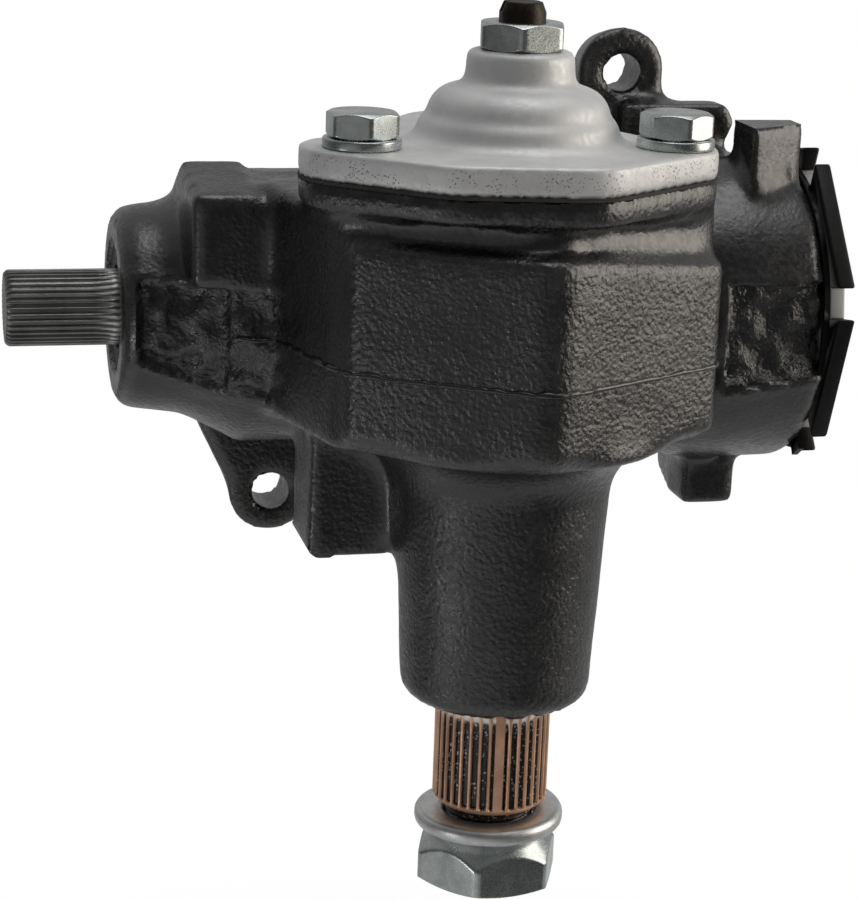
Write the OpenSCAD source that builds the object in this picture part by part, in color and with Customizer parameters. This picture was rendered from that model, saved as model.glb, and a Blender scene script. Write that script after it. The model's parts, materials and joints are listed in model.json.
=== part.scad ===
// Steering gearbox: worm, recirculating-ball nut and toothed sector shaft in a cast housing.
// Origin: on the sector shaft axis, at the lower end of the housing's sector tube.
// +X runs along the worm away from the input end, +Y from the sector shaft to the worm, +Z up.

/* [Gear train] */
// Distance between the worm axis and the sector shaft axis
center_distance = 49; // [48:0.5:50]
// Height of the worm axis above the lower end of the sector tube
worm_height = 87.5; // [84:0.5:92]
// Advance of the ball nut for one turn of the worm
ball_lead = 8; // [7.8:0.1:8.2]
// Turns of the worm for one turn of the sector shaft
gear_ratio = 20; // [19.5:0.25:20.5]
// Teeth that the sector would have all the way round
sector_full_teeth = 16; // [15:1:17]
// Pressure angle of the rack and sector teeth
pressure_angle = 25; // [23:1:27]
// Tooth height outside the pitch line
tooth_addendum = 2.8; // [2.5:0.1:3]
// Tooth depth inside the pitch line
tooth_dedendum = 3.3; // [3.2:0.1:3.6]
// Amount by which each tooth is thinned
tooth_play = 0.25; // [0.2:0.05:0.35]
// Length of the sector teeth along their shaft
sector_face = 24; // [20:1:26]
// Swing of the sector shaft to each side
sector_swing = 35; // [30:1:38]

/* [Worm and ball nut] */
// Diameter of the balls in the nut
track_ball_d = 6.35; // [6:0.05:6.5]
// Radius of the ball centres about the worm axis
track_circle_r = 13; // [12.8:0.1:13.4]
// Extra radius of the ball track over the ball
track_play = 0.35; // [0.3:0.05:0.4]
// Height from the ball centres to the lands of worm and nut
track_land = 1; // [0.9:0.1:1.2]
// Half the length of the ball nut
nut_half_length = 30; // [29:0.5:32]
// Half the height of the ball nut
nut_half_height = 19; // [18.5:0.5:20]
// Distance from the worm axis to the nut's back face
nut_back = 18.6; // [18.2:0.1:19.2]
// Outside radius of the ball return guides
guide_r = 3.9; // [3.8:0.05:4]
// Wall of the ball return guides
guide_wall = 0.5; // [0.4:0.05:0.5]
// Thickness of the clamp over the guides
clamp_plate = 2.2; // [1.8:0.1:2.6]
// Radius of the clamp screws
clamp_screw_r = 1.8; // [1.5:0.1:2]

/* [Input shaft] */
// Radius over the input serrations
input_r = 9.525; // [9:0.025:10]
// Length of the input serrations outside the housing
input_length = 26.8; // [24:0.2:32]
// Number of input serrations
input_serrations = 36; // [30:1:40]
// Depth of the input serrations
input_serration_depth = 0.75; // [0.5:0.05:0.9]
// Radius of the worm shaft where the seal runs
seal_journal_r = 10.4; // [10.2:0.1:11]

/* [Worm bearings] */
// Distance from the sector shaft to each worm bearing, along the worm
bearing_x = 59; // [57:0.5:62]
// Diameter of the worm bearing balls
bearing_ball_d = 5.556; // [5.2:0.05:5.8]
// Radius of the worm bearing ball circle
bearing_circle_r = 14; // [13.8:0.1:14.4]
// Balls in each worm bearing
bearing_balls = 12; // [10:1:12]
// Outside radius of the bearing cups
cup_r = 20; // [19.5:0.1:21]
// Length of the bearing cups
cup_length = 10; // [9:0.5:12]

/* [Sector shaft] */
// Radius of the sector shaft in the tube
sector_journal_r = 15.875; // [15.5:0.125:16.5]
// Radius of the sector shaft in the cover
cover_journal_r = 14; // [13:0.25:15]
// Radius over the pitman serrations
pitman_r = 14.3; // [13.5:0.1:15]
// Length of the pitman serrations outside the tube
pitman_length = 28.5; // [26:0.5:34]
// Number of pitman serrations, one of them left whole
pitman_serrations = 36; // [30:1:38]
// Depth of the pitman serrations
pitman_serration_depth = 1.1; // [0.8:0.1:1.3]
// Radius of the pitman thread
pitman_thread_r = 11.1; // [10.5:0.1:11.5]
// Thickness of the pitman lock washer
pitman_washer_t = 5; // [4:0.25:6]
// Outside radius of the pitman lock washer
pitman_washer_r = 18.6; // [18:0.1:20]
// Size across the flats of the pitman nut
pitman_nut_flats = 32.5; // [31.5:0.1:34]
// Thickness of the pitman nut
pitman_nut_t = 13; // [12:0.5:16]
// Plain thread between the serrations and the lock washer
pitman_gap = 1.3; // [1:0.1:2]
// Free rise of the pitman lock washer off its nut
pitman_spring = 1.4; // [1:0.1:2]

/* [Side cover] */
// Height of the housing's cover face above the worm axis
cover_rise = 41.6; // [41:0.2:44]
// Thickness of the cover gasket
gasket_t = 0.8; // [0.5:0.1:1]
// Thickness of the cover flange
flange_t = 6.8; // [6:0.2:8]
// Outside radius of the cover dome
dome_r = 22.6; // [22:0.2:24]
// Height of the dome's shoulder above the flange
dome_rise = 12.8; // [12.4:0.2:14]
// Radius of the cover nose
nose_r = 12.6; // [12:0.2:13.2]
// Height of the nose above the dome's shoulder
nose_rise = 8.3; // [7:0.1:10]
// Radius of the cover bolts
bolt_r = 4.8; // [4.5:0.1:5]
// Size across the flats of the cover bolt heads
bolt_flats = 15.4; // [14.5:0.1:16]
// Height of the cover bolt heads
bolt_head = 5.9; // [5.5:0.1:7]
// Thread length of the cover bolts in the housing
bolt_grip = 12; // [10:0.5:12.5]
// Outside radius of the cover lock washers
bolt_washer_r = 9.1; // [8.8:0.1:9.3]
// Thickness of the cover lock washers
bolt_washer_t = 2.4; // [2:0.1:3]

/* [Lash adjuster] */
// Radius of the adjuster screw's thread
lash_r = 5.5; // [5:0.1:5.6]
// Radius of the adjuster screw's head
lash_head_r = 8; // [7.6:0.1:8.2]
// Thickness of the adjuster screw's head
lash_head_t = 3.6; // [3.2:0.1:4]
// Thickness of the shim under the head
lash_shim_t = 1.3; // [1:0.1:1.6]
// Height of the adjuster screw above its locknut
lash_stick_out = 4.7; // [4:0.1:8]
// Size across the flats of the locknut
locknut_flats = 19; // [18:0.2:20]
// Thickness of the locknut
locknut_t = 6.4; // [6:0.2:8]

/* [Housing] */
// Wall of the worm tube
tube_wall = 4.2; // [4:0.1:5.5]
// Distance from the sector shaft to the input end face
input_face_x = 89.3; // [87:0.5:94]
// Radius of the input boss
input_boss_r = 25.4; // [24:0.2:26.4]
// Rounding of the input boss's rim
input_boss_round = 4; // [3:0.5:5]
// Distance from the sector shaft to the adjuster end face
end_face_x = 85; // [84:0.5:90]
// Wall of the collar around the bearing adjuster
collar_wall = 8.7; // [8:0.1:10]
// Wall around the adjuster in the collar's upper half
collar_top_wall = 5; // [4.5:0.25:6]
// Wall around the adjuster at the flat on the collar's front
collar_flat_wall = 3; // [2.5:0.25:4]
// Radius of the sector tube at its lower end
sector_tube_r = 23.4; // [23.2:0.2:26]
// Growth of the sector tube's radius up to its fillet
sector_tube_draft = 2.6; // [2:0.2:4]
// Fillet between the sector tube and the chamber
sector_tube_fillet = 15; // [10:0.5:16]
// Thickness of the chamber floor
floor_t = 6; // [5:0.5:8]
// Width of the gasket face around the sector chamber
gasket_land = 4.5; // [4.5:0.25:5.5]
// Height of the lip under the cover face
lip_h = 6; // [5:0.5:8]

/* [Mounting ears] */
// Radius of the ear bolt holes
ear_hole_r = 5; // [4.5:0.1:5.5]
// Radius of the ears
ear_r = 12.2; // [11:0.2:13]
// Thickness of the ears
ear_t = 16; // [14:0.5:20]
// Radius of the threaded hole in the lower boss
boss_hole_r = 4.25; // [3.5:0.25:5]
// Depth of the threaded hole in the lower boss
boss_hole_depth = 22; // [16:1:26]

/* [Bearing adjuster] */
// Radius of the adjuster's thread
adjuster_r = 33; // [32.8:0.1:34]
// Thickness of the tab washer under the lock ring
tab_washer_t = 1.5; // [1:0.1:2]
// Thickness of the lock ring
lock_ring_t = 4.4; // [4:0.2:5.6]
// Width of the lock ring from the adjuster's thread to its corners
lock_ring_w = 12.2; // [11:0.2:13.4]
// Angle of each notch in the lock ring's corners
lock_notch_angle = 10; // [7:0.5:12]

/* [Clearances] */
// Radial clearance of shafts in their bushes and seals
run_gap = 0.05; // [0.03:0.01:0.08]
// Radial clearance of threads and pressed pieces
seat_gap = 0.05; // [0.03:0.01:0.1]
// Clearance between moving pieces that don't guide each other
free_gap = 0.8; // [0.6:0.1:1]
// Clearance of the bearing balls in their races
race_gap = 0.12; // [0.1:0.01:0.16]

/* [Hidden] */
$fn = 64;
eps = 0.01;
// Reach of a cut past the face it opens through
past = 2;

// Gear geometry
pitch_r = ball_lead * gear_ratio / (2 * PI);
tooth_pitch = 2 * PI * pitch_r / sector_full_teeth;
base_r = pitch_r * cos(pressure_angle);
sector_tip_r = pitch_r + tooth_addendum;
sector_root_r = pitch_r - tooth_dedendum;
sector_half_teeth = 2;
tooth_half = tooth_pitch / 4 - tooth_play / 2;
rack_line = center_distance - pitch_r;
rack_tip = rack_line + tooth_addendum;
rack_root = rack_line - tooth_dedendum;
rack_width = sector_face + 1;
nut_travel = pitch_r * sector_swing * PI / 180;

// Ball track and worm
track_r = track_ball_d / 2 + track_play;
worm_land_r = track_circle_r - track_land;
nut_land_r = track_circle_r + track_land;
circuit_turns = 1.5;
circuit_starts = [-2.75, 1.25];
circuit_reach = (max(circuit_starts) + circuit_turns) * ball_lead;
worm_half_length = circuit_reach + nut_travel + track_r;
worm_neck_r = track_circle_r - track_r - 0.5;
ball_step = (track_ball_d + 0.25) / track_circle_r * 180 / PI;

// Return guides: two legs and a bar, joined by bends
guide_bend_r = guide_r + 0.3;
guide_leg_y = nut_back;
guide_bar_y = guide_leg_y + guide_bend_r;
guide_leg_start = sqrt(pow(worm_land_r + free_gap, 2) - pow(track_circle_r - guide_r, 2));
guide_bore_r = guide_r - guide_wall;
clamp_width = 10;
clamp_foot = 8.2;
clamp_reach = 21;
clamp_screw_x = 3;
clamp_head_r = clamp_foot - clamp_plate - clamp_screw_x - 0.3;
clamp_top = guide_bar_y + guide_r;

// Worm housing
bore_r = max(sqrt(pow(rack_tip, 2) + pow(rack_width / 2, 2)),
    sqrt(pow(clamp_top + clamp_plate, 2) + pow(clamp_width / 2, 2))) + free_gap;
tube_r = bore_r + tube_wall;
collar_r = adjuster_r + collar_wall;
lock_ring_r = adjuster_r + lock_ring_w;
bore_start_x = -bearing_x + cup_length / 2 + 2;
adjuster_start_x = bearing_x - cup_length / 2;
adjuster_bore_x = adjuster_start_x - 3;
seal_depth = 8;
input_seal_r = 16;
shaft_bore_r = seal_journal_r + 2.5;
race_r = bearing_circle_r - 1.2;
cup_bore_r = bearing_circle_r + 1.2;
race_groove_r = bearing_ball_d / 2 + race_gap;

// Sector chamber and cover
chamber_r = sector_tip_r + free_gap + 0.2;
floor_z = worm_height - sector_face / 2 - 3;
bottom_z = floor_z - floor_t;
cover_face_z = worm_height + cover_rise;
flange_z = cover_face_z + gasket_t;
flange_top_z = flange_z + flange_t;
shoulder_z = flange_top_z + dome_rise;
nose_z = shoulder_z + nose_rise;
// Cover bolts: metal between chamber and bolt, place around the shaft, and turn of the head
bolt_walls = [7, 2.8, 4];
bolt_angles = [196.2, -19, 80.5];
bolt_turns = [32, 34.5, 10];
bolts = [for (i = [0:2]) (chamber_r + bolt_r + bolt_walls[i]) * [cos(bolt_angles[i]), sin(bolt_angles[i])]];
bolt_hole_past = 1;
bolt_play = 0.4;
bushing_wall = 2.3;
cover_bush_r = cover_journal_r + run_gap + bushing_wall;
cover_bush_top_z = shoulder_z - 4.3;
sector_top_z = cover_bush_top_z - 1;
sector_bush_r = sector_journal_r + run_gap + bushing_wall;
sector_seal_r = sector_bush_r + 1.8;
tube_mid_z = worm_height / 2 - 4;

// Lash adjuster, hung in a T-slot of the sector shaft
slot_lip = 5.4;
head_top_z = sector_top_z - slot_lip - 0.3;
head_z = head_top_z - lash_head_t;
shim_z = head_z - lash_shim_t;
lash_top_z = nose_z + locknut_t + lash_stick_out;

// Pitman end
washer_top_z = -pitman_length - pitman_gap;
nut_top_z = washer_top_z - pitman_washer_t - pitman_spring;
nut_low_z = nut_top_z - pitman_nut_t;
pitman_nut_rim = pitman_nut_flats / 2 - 2.3;
pitman_nut_slope = 50;

// Mounting plane behind the worm tube and the ears' X and Z places, all from the worm axis
mount_y = tube_r + 0.6;
ear_y = mount_y - ear_t;
ear_taper = 3;
upper_ear = [46.3, 56.6];
lower_ear = [-45.3, -55];
lower_boss = [73, -45];

// Outline lobes of the cover face: x, y and radius, anticlockwise
left_bolt = bolts[0];
right_bolt = bolts[1];
back_bolt = bolts[2];
front_lobes = [
    [right_bolt[0] + 4, right_bolt[1] + 11, 8.8], [left_bolt[0] + 0.7, left_bolt[1] + 4.5, 14.5],
    [-18, -chamber_r + 5.3, 15], [6, -chamber_r + 1.8, 15], [right_bolt[0] + 2.7, right_bolt[1] - 0.7, 7.5]];
back_lobes = [
    [16, 12, 12], [back_bolt[0] + 1, back_bolt[1], 12.5], [back_bolt[0] - 11.3, back_bolt[1], 14.5],
    [left_bolt[0] + 7.5, 2, 12]];
// Chamber walls, the neck between them and the lip, and the raised pads on their front
wall_lobes = [
    [right_bolt[0] + 3.7, 25, 8], [left_bolt[0] - 10, 25, 7], [left_bolt[0], left_bolt[1], 7],
    [-1, -chamber_r - 4.6, 9], [right_bolt[0] + 3.7, -8, 8]];
neck_lobes = [
    [right_bolt[0] + 3.7, 25, 8], [left_bolt[0] - 10, 25, 7], [left_bolt[0], left_bolt[1], 7],
    [-1, -chamber_r - 0.6, 9], [right_bolt[0] + 3.7, -8, 8]];
pad_lobes = [
    [right_bolt[0] + 7, 2, 5], [left_bolt[0] + 0.4, 2, 5], [left_bolt[0] + 0.4, -18, 5],
    [-1, -chamber_r - 8.2, 8], [right_bolt[0] + 7, -16, 5]];
pad_low = -18;
pad_high = 29;
pad_slope = 7;

// Round-cornered outline that a belt around the given circles follows
function belt_normal(a, b) = let (d = [b[0] - a[0], b[1] - a[1]])
    atan2(d[1], d[0]) - acos((a[2] - b[2]) / norm(d));
function belt_arc(c, from, to, n = 6) = let (sweep = (to - from + 720) % 360)
    [for (i = [0:n]) let (t = from + sweep * i / n) [c[0] + c[2] * cos(t), c[1] + c[2] * sin(t)]];
function belt(c) = let (n = len(c)) [for (i = [0:n - 1])
    each belt_arc(c[i], belt_normal(c[(i + n - 1) % n], c[i]), belt_normal(c[i], c[(i + 1) % n]))];

// Involute half-angle of a sector tooth at radius r
function involute(a) = tan(a) * 180 / PI - a;
function tooth_angle(r) = tooth_half / pitch_r * 180 / PI + involute(pressure_angle)
    - involute(acos(min(1, base_r / r)));
function polar(r, a) = [r * cos(a), r * sin(a)];

// Radius of worm or nut surface at a place on the ball helix
function helix_offset(x, phi) = let (u = x - ball_lead * phi / 360)
    u - ball_lead * round(u / ball_lead);
function track_depth(d) = sqrt(max(0, track_r * track_r - d * d));
function worm_surface(x, phi) = min(worm_land_r, track_circle_r - track_depth(helix_offset(x, phi)));
function nut_surface(x, phi) = max(nut_land_r, track_circle_r + track_depth(helix_offset(x, phi)));

// Moves children from the worm axis frame to the part frame
module at_worm() {
    translate([0, center_distance, worm_height]) children();
}

// Turned shape about the worm axis from [radius, x] points
module worm_turned(profile) {
    at_worm() rotate([0, 90, 0]) rotate_extrude() polygon(profile);
}

// Cylinder along the worm axis
module worm_cylinder(r, x0, x1) {
    at_worm() translate([x0, 0, 0]) rotate([0, 90, 0]) cylinder(r = r, h = x1 - x0);
}

// Plate across the worm axis, between two Y places that are measured from it
module xz_plate(y0, y1) {
    at_worm() translate([0, y1, 0]) rotate([90, 0, 0]) linear_extrude(y1 - y0) children();
}

// Bar along X between two places, whose outline is drawn in Y and Z from the worm axis
module yz_bar(x0, x1) {
    at_worm() translate([x0, 0, 0]) rotate([90, 0, 90]) linear_extrude(x1 - x0) children();
}

// Round bar along Y at [x, z] from the worm axis, wider or narrower at its far end
module y_cylinder(r, place, y0, y1, far_r = 0) {
    at_worm() translate([place[0], y1, place[1]]) rotate([90, 0, 0])
        cylinder(r1 = far_r > 0 ? far_r : r, r2 = r, h = y1 - y0);
}

// Flat ring standing on z = 0
module ring(outer, inner, h) {
    difference() {
        cylinder(r = outer, h = h);
        translate([0, 0, -past]) cylinder(r = inner, h = h + 2 * past);
    }
}

// Hexagon prism whose corners are turned off above the given rim radius, and below low_rim if given
module hex_blank(flats, h, high_rim, high_slope = 30, low_rim = 0, low_slope = 20) {
    corner = flats / sqrt(3);
    outer = corner + 1;
    low = low_rim > 0 ? low_rim : outer;
    intersection() {
        cylinder(r = corner, h = h, $fn = 6);
        rotate_extrude() polygon([
            [0, 0], [low, 0], [outer, (outer - low) * tan(low_slope) + eps],
            [outer, h - (outer - high_rim) * tan(high_slope)], [high_rim, h], [0, h]]);
    }
}

// Split spring washer, cut through on a slant
module split_washer(outer, inner, t, split_angle) {
    split = 1.2;
    difference() {
        ring(outer, inner, t);
        rotate([0, 0, split_angle]) translate([(outer + inner) / 2, 0, t / 2]) rotate([25, 0, 0])
            cube([outer, split, 3 * t], center = true);
    }
}

// Tube surface whose radius follows a helix, closed by flat ends
module helix_solid(half_length, inside) {
    sides = 32;
    rings = ceil(2 * half_length);
    step = 2 * half_length / rings;
    points = [for (i = [0:rings], j = [0:sides - 1])
        let (x = -half_length + i * step, phi = j * 360 / sides,
            r = inside ? nut_surface(x, phi) : worm_surface(x, phi))
        [x, r * cos(phi), r * sin(phi)]];
    walls = [for (i = [0:rings - 1], j = [0:sides - 1])
        let (k = (j + 1) % sides, a = i * sides + j, b = a + sides, c = (i + 1) * sides + k, d = i * sides + k)
        each [[a, b, c], [a, c, d]]];
    low_end = [for (j = [0:sides - 1]) j];
    high_end = [for (j = [sides - 1:-1:0]) rings * sides + j];
    polyhedron(points, concat(walls, [low_end, high_end]));
}

// Serrations cut into a cylinder that stands on z = 0
module serration_grooves(r, depth, count, skip, length) {
    half = PI * r / count * 0.62;
    for (i = [skip:count - 1])
        rotate([0, 0, i * 360 / count]) translate([0, 0, -past])
            linear_extrude(length + past)
                polygon([[r - depth, 0], [r + depth, -2 * half], [r + depth, 2 * half]]);
}

module cover_outline() {
    polygon(belt(front_lobes));
    polygon(belt(back_lobes));
    circle(r = chamber_r + gasket_land);
}

module bolt_holes(r, z0, z1) {
    for (b = bolts)
        translate([b[0], b[1], z0]) cylinder(r = r, h = z1 - z0);
}

// Sector chamber: cover lip, neck, walls, and the raised pads that meet in a front ridge and slope down to the right
module chamber_form() {
    neck_z = worm_height + pad_high;
    right_x = right_bolt[0] + 20;
    pad_reach = chamber_r + 20;
    translate([0, 0, cover_face_z - lip_h]) linear_extrude(lip_h) cover_outline();
    translate([0, 0, neck_z - eps]) linear_extrude(cover_face_z - lip_h - neck_z + 2 * eps) polygon(belt(neck_lobes));
    translate([0, 0, bottom_z]) linear_extrude(neck_z - bottom_z) polygon(belt(wall_lobes));
    difference() {
        translate([0, 0, worm_height + pad_low]) linear_extrude(pad_high - pad_low) polygon(belt(pad_lobes));
        xz_plate(-center_distance - pad_reach, 0) polygon([[0, pad_high], [right_x, pad_high - pad_slope],
            [right_x, pad_high + past], [0, pad_high + past]]);
    }
}

// Sector tube with its rounded lower rim and the fillet to the chamber
module sector_tube_form() {
    rim = 2.5;
    top_r = sector_tube_r + sector_tube_draft;
    fillet_z = bottom_z - sector_tube_fillet;
    rotate_extrude() polygon(concat(
        [[0, 0]],
        [for (a = [-90:18:0]) [sector_tube_r - rim + rim * cos(a), rim + rim * sin(a)]],
        [for (a = [180:-10:90])
            [top_r + sector_tube_fillet * (1 + cos(a)), fillet_z + sector_tube_fillet * sin(a)]],
        [[top_r + sector_tube_fillet, bottom_z + 2], [0, bottom_z + 2]]));
}

// Profile of the adjuster collar from the worm tube to the end face
function collar_profile(r) = [
    [tube_r, adjuster_bore_x - 6], [r - 0.8, adjuster_bore_x + 3], [r, adjuster_bore_x + 14],
    [r - 0.3, end_face_x - 1.5], [r - 1.5, end_face_x], [0, end_face_x]];

// Worm housing: rounded input boss, worm tube, and adjuster collar that is wider in its lower half
module worm_housing_form() {
    shoulder_x = -bearing_x - 3;
    round_r = input_boss_r - input_boss_round;
    round_x = -input_face_x + input_boss_round;
    step_x = adjuster_bore_x + 9;
    step_low = -15;
    step_high = -11;
    flat_high = 11.5;
    difference() {
        worm_turned(concat(
            [[0, -input_face_x]],
            [for (a = [90:-18:0]) [round_r + input_boss_round * cos(a), round_x - input_boss_round * sin(a)]],
            [[input_boss_r + 1.6, shoulder_x - 11], [tube_r - 3, shoulder_x - 2], [tube_r, shoulder_x + 3]],
            collar_profile(adjuster_r + collar_top_wall)));
        // Flat on the collar's front
        xz_plate(-collar_r - past, -adjuster_r - collar_flat_wall) polygon([[step_x, step_low - past],
            [end_face_x + past, step_high - past], [end_face_x + past, flat_high], [step_x, flat_high]]);
    }
    intersection() {
        worm_turned(concat([[0, adjuster_bore_x - 6]], collar_profile(collar_r)));
        xz_plate(-collar_r - past, collar_r + past) polygon([[step_x - 20, step_low],
            [end_face_x + past, step_high], [end_face_x + past, -collar_r - past],
            [step_x - 20, -collar_r - past]]);
    }
}

// Cast blocks, webs and ears
module casting_lugs() {
    edge = 3;
    // Block over the input end, whose sloping top steps down beside the chamber
    block_x = -input_face_x + 15.3;
    block_front = tube_r - 1.3;
    block_low = 12;
    for (b = [[0, 16, 37.5], [15, 37, 35]])
        yz_bar(block_x + b[0], block_x + b[1])
            polygon([[-block_front, block_low], [-block_front + 12, block_low - 4], [8, 0], [8, 30], [-5, b[2]],
                [-block_front, b[2] - 4.2]]);
    // Upper ear on its web, with a rib to the collar
    y_cylinder(ear_r, upper_ear, ear_y, mount_y, ear_r - ear_taper);
    xz_plate(ear_y, mount_y) polygon([[upper_ear[0] - ear_r + ear_taper, upper_ear[1]],
        [upper_ear[0] - ear_r - 2, 15], [upper_ear[0] + ear_r + 1, 15],
        [upper_ear[0] + ear_r - ear_taper, upper_ear[1]]]);
    xz_plate(ear_y - 7, ear_y + 3) polygon(belt([[upper_ear[0] + 28, 44.5, 1.5], [upper_ear[0] + 26, 47.8, 1.5],
        [upper_ear[0], 47.8, 1.5], [upper_ear[0], 25, 1.5], [upper_ear[0] + 20, 25, 1.5]]));
    // Lower ear with its web to the worm tube
    y_cylinder(ear_r - 0.7, lower_ear, ear_y, mount_y, ear_r - ear_taper);
    xz_plate(ear_y, mount_y) polygon(belt([[lower_ear[0], lower_ear[1], ear_r - ear_taper],
        [-24, -20, 8], [-62, -20, 5], [-61, -36, 3.5]]));
    // Block beside the sector tube
    xz_plate(6 - center_distance, -19)
        polygon(belt([[-27.5, -51, edge], [-15, -20, 6], [-40, -20, 6], [-43.5, -51, edge]]));
    // Blocks over and under the collar; the upper one's front is turned toward the end face
    over_x = end_face_x - 0.5;
    over_low = 15;
    over_high = 48;
    at_worm() translate([0, 0, over_low]) linear_extrude(over_high - over_low)
        polygon([[over_x, -6], [over_x - 16, -6], [over_x - 16, -23.5], [over_x, -15]]);
    boss_low = lower_boss[1] - 10.5;
    boss_high = -30;
    at_worm() translate([lower_boss[0], 0, boss_low]) linear_extrude(boss_high - boss_low)
        polygon([[-11, -4], [3.5, -4], [6, mount_y], [-5.8, mount_y], [-11, 9]]);
}

module housing() {
    color("#1b1b1c") difference() {
        union() {
            chamber_form();
            sector_tube_form();
            worm_housing_form();
            casting_lugs();
        }
        // Worm bore, adjuster thread, bearing seat, shaft passage and seal seat
        worm_cylinder(bore_r, bore_start_x, adjuster_bore_x + eps);
        worm_cylinder(adjuster_r, adjuster_bore_x, end_face_x + past);
        worm_cylinder(cup_r + seat_gap, -bearing_x - cup_length / 2, bore_start_x + eps);
        worm_cylinder(shaft_bore_r, -input_face_x - past, -bearing_x);
        worm_cylinder(input_seal_r + seat_gap, -input_face_x - past, -input_face_x + seal_depth);
        // Sector chamber, tube bore and seal seat
        translate([0, 0, floor_z]) cylinder(r = chamber_r, h = cover_face_z - floor_z + past);
        translate([0, 0, -past]) cylinder(r = sector_bush_r + seat_gap, h = floor_z + 2 * past);
        translate([0, 0, -past]) cylinder(r = sector_seal_r + seat_gap, h = seal_depth + past + 1);
        bolt_holes(bolt_r + seat_gap, cover_face_z - bolt_grip - bolt_hole_past, cover_face_z + past);
        // Ear holes, and the threaded hole in the lower boss
        for (e = [upper_ear, lower_ear])
            y_cylinder(ear_hole_r, e, ear_y - past, mount_y + past);
        y_cylinder(boss_hole_r, lower_boss, mount_y - boss_hole_depth, mount_y + past);
    }
}

module side_cover() {
    foot = 4;
    foot_r = dome_r + foot + 1;
    color("#a9abac") difference() {
        union() {
            translate([0, 0, flange_z]) linear_extrude(flange_t) cover_outline();
            translate([0, 0, flange_top_z]) rotate_extrude() polygon(concat(
                [[0, -2], [foot_r, -2]],
                [for (a = [270:-15:180]) [foot_r + foot * cos(a), foot + foot * sin(a)]],
                [[dome_r, 5.5]],
                [for (a = [0:15:75]) [dome_r - 8 + 7 * cos(a), dome_rise - 7 + 7 * sin(a)]],
                [[nose_r + 2.2, dome_rise], [nose_r + 0.5, dome_rise + 1.2], [nose_r + 0.3, dome_rise + 2],
                [nose_r, dome_rise + nose_rise - 1], [nose_r - 1, dome_rise + nose_rise],
                [0, dome_rise + nose_rise]]));
        }
        translate([0, 0, flange_z - past])
            cylinder(r = cover_bush_r + seat_gap, h = cover_bush_top_z - flange_z + past);
        translate([0, 0, flange_z]) cylinder(r = lash_r + run_gap, h = nose_z - flange_z + past);
        bolt_holes(bolt_r + bolt_play, flange_z - past, flange_top_z + past);
    }
}

module cover_gasket() {
    color("#2a2a2a") translate([0, 0, cover_face_z]) difference() {
        linear_extrude(gasket_t) cover_outline();
        translate([0, 0, -past]) cylinder(r = chamber_r, h = gasket_t + 2 * past);
        bolt_holes(bolt_r + bolt_play, -past, gasket_t + past);
    }
}

module cover_bolts() {
    head_low = flange_top_z + bolt_washer_t;
    color("#c2c6c6") for (i = [0:len(bolts) - 1])
        translate([bolts[i][0], bolts[i][1], 0]) {
            translate([0, 0, head_low]) rotate([0, 0, bolt_turns[i]])
                hex_blank(bolt_flats, bolt_head, bolt_flats / 2 - 0.2);
            translate([0, 0, cover_face_z - bolt_grip])
                cylinder(r = bolt_r, h = head_low - cover_face_z + bolt_grip + 1);
        }
}

module cover_lock_washers() {
    color("#b9bdbd") for (i = [0:len(bolts) - 1])
        translate([bolts[i][0], bolts[i][1], flange_top_z])
            split_washer(bolt_washer_r, bolt_r + bolt_play, bolt_washer_t, 100 - 25 * i);
}

module cover_bushing() {
    color("#b08d4f") translate([0, 0, flange_z])
        ring(cover_bush_r, cover_journal_r + run_gap, cover_bush_top_z - flange_z - 0.5);
}

module lash_adjuster_screw() {
    tip_r = lash_r - 1;
    color("#4c4a47") difference() {
        rotate_extrude() polygon([
            [0, head_z], [lash_head_r, head_z], [lash_head_r, head_top_z], [lash_r, head_top_z],
            [lash_r, lash_top_z - 2.5], [tip_r, lash_top_z], [0, lash_top_z]]);
        translate([0, 0, lash_top_z]) cube([2 * lash_r + past, 1.6, 5], center = true);
    }
}

module lash_shim() {
    color("#8c8c8a") translate([0, 0, shim_z]) cylinder(r = lash_head_r - 0.4, h = lash_shim_t);
}

module lash_locknut() {
    color("#c2c6c6") difference() {
        translate([0, 0, nose_z]) rotate([0, 0, 17])
            hex_blank(locknut_flats, locknut_t, locknut_flats / 2 - 0.2);
        translate([0, 0, nose_z - past]) cylinder(r = lash_r + run_gap, h = locknut_t + 2 * past);
    }
}

// One involute tooth pointing along +X
module sector_tooth() {
    start_r = max(base_r, sector_root_r);
    steps = 8;
    radii = [for (i = [0:steps]) start_r + (sector_tip_r - start_r) * i / steps];
    linear_extrude(sector_face) polygon(concat(
        [polar(sector_root_r - 2, -tooth_angle(start_r))],
        [for (r = radii) polar(r, -tooth_angle(r))],
        [for (i = [steps:-1:0]) polar(radii[i], tooth_angle(radii[i]))],
        [polar(sector_root_r - 2, tooth_angle(start_r))]));
}

// Toothed segment that faces the rack
module sector_teeth() {
    pitch_angle = 360 / sector_full_teeth;
    half_angle = (sector_half_teeth + 0.5) * pitch_angle;
    translate([0, 0, worm_height - sector_face / 2]) {
        for (i = [-sector_half_teeth:sector_half_teeth])
            rotate([0, 0, 90 + i * pitch_angle]) sector_tooth();
        linear_extrude(sector_face) intersection() {
            circle(r = sector_root_r);
            polygon(concat([[0, -sector_journal_r]],
                [for (s = [-1, -0.5, 0, 0.5, 1]) polar(2 * sector_root_r, 90 + s * half_angle)]));
        }
        cylinder(r = sector_journal_r + 2, h = sector_face);
    }
}

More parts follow.
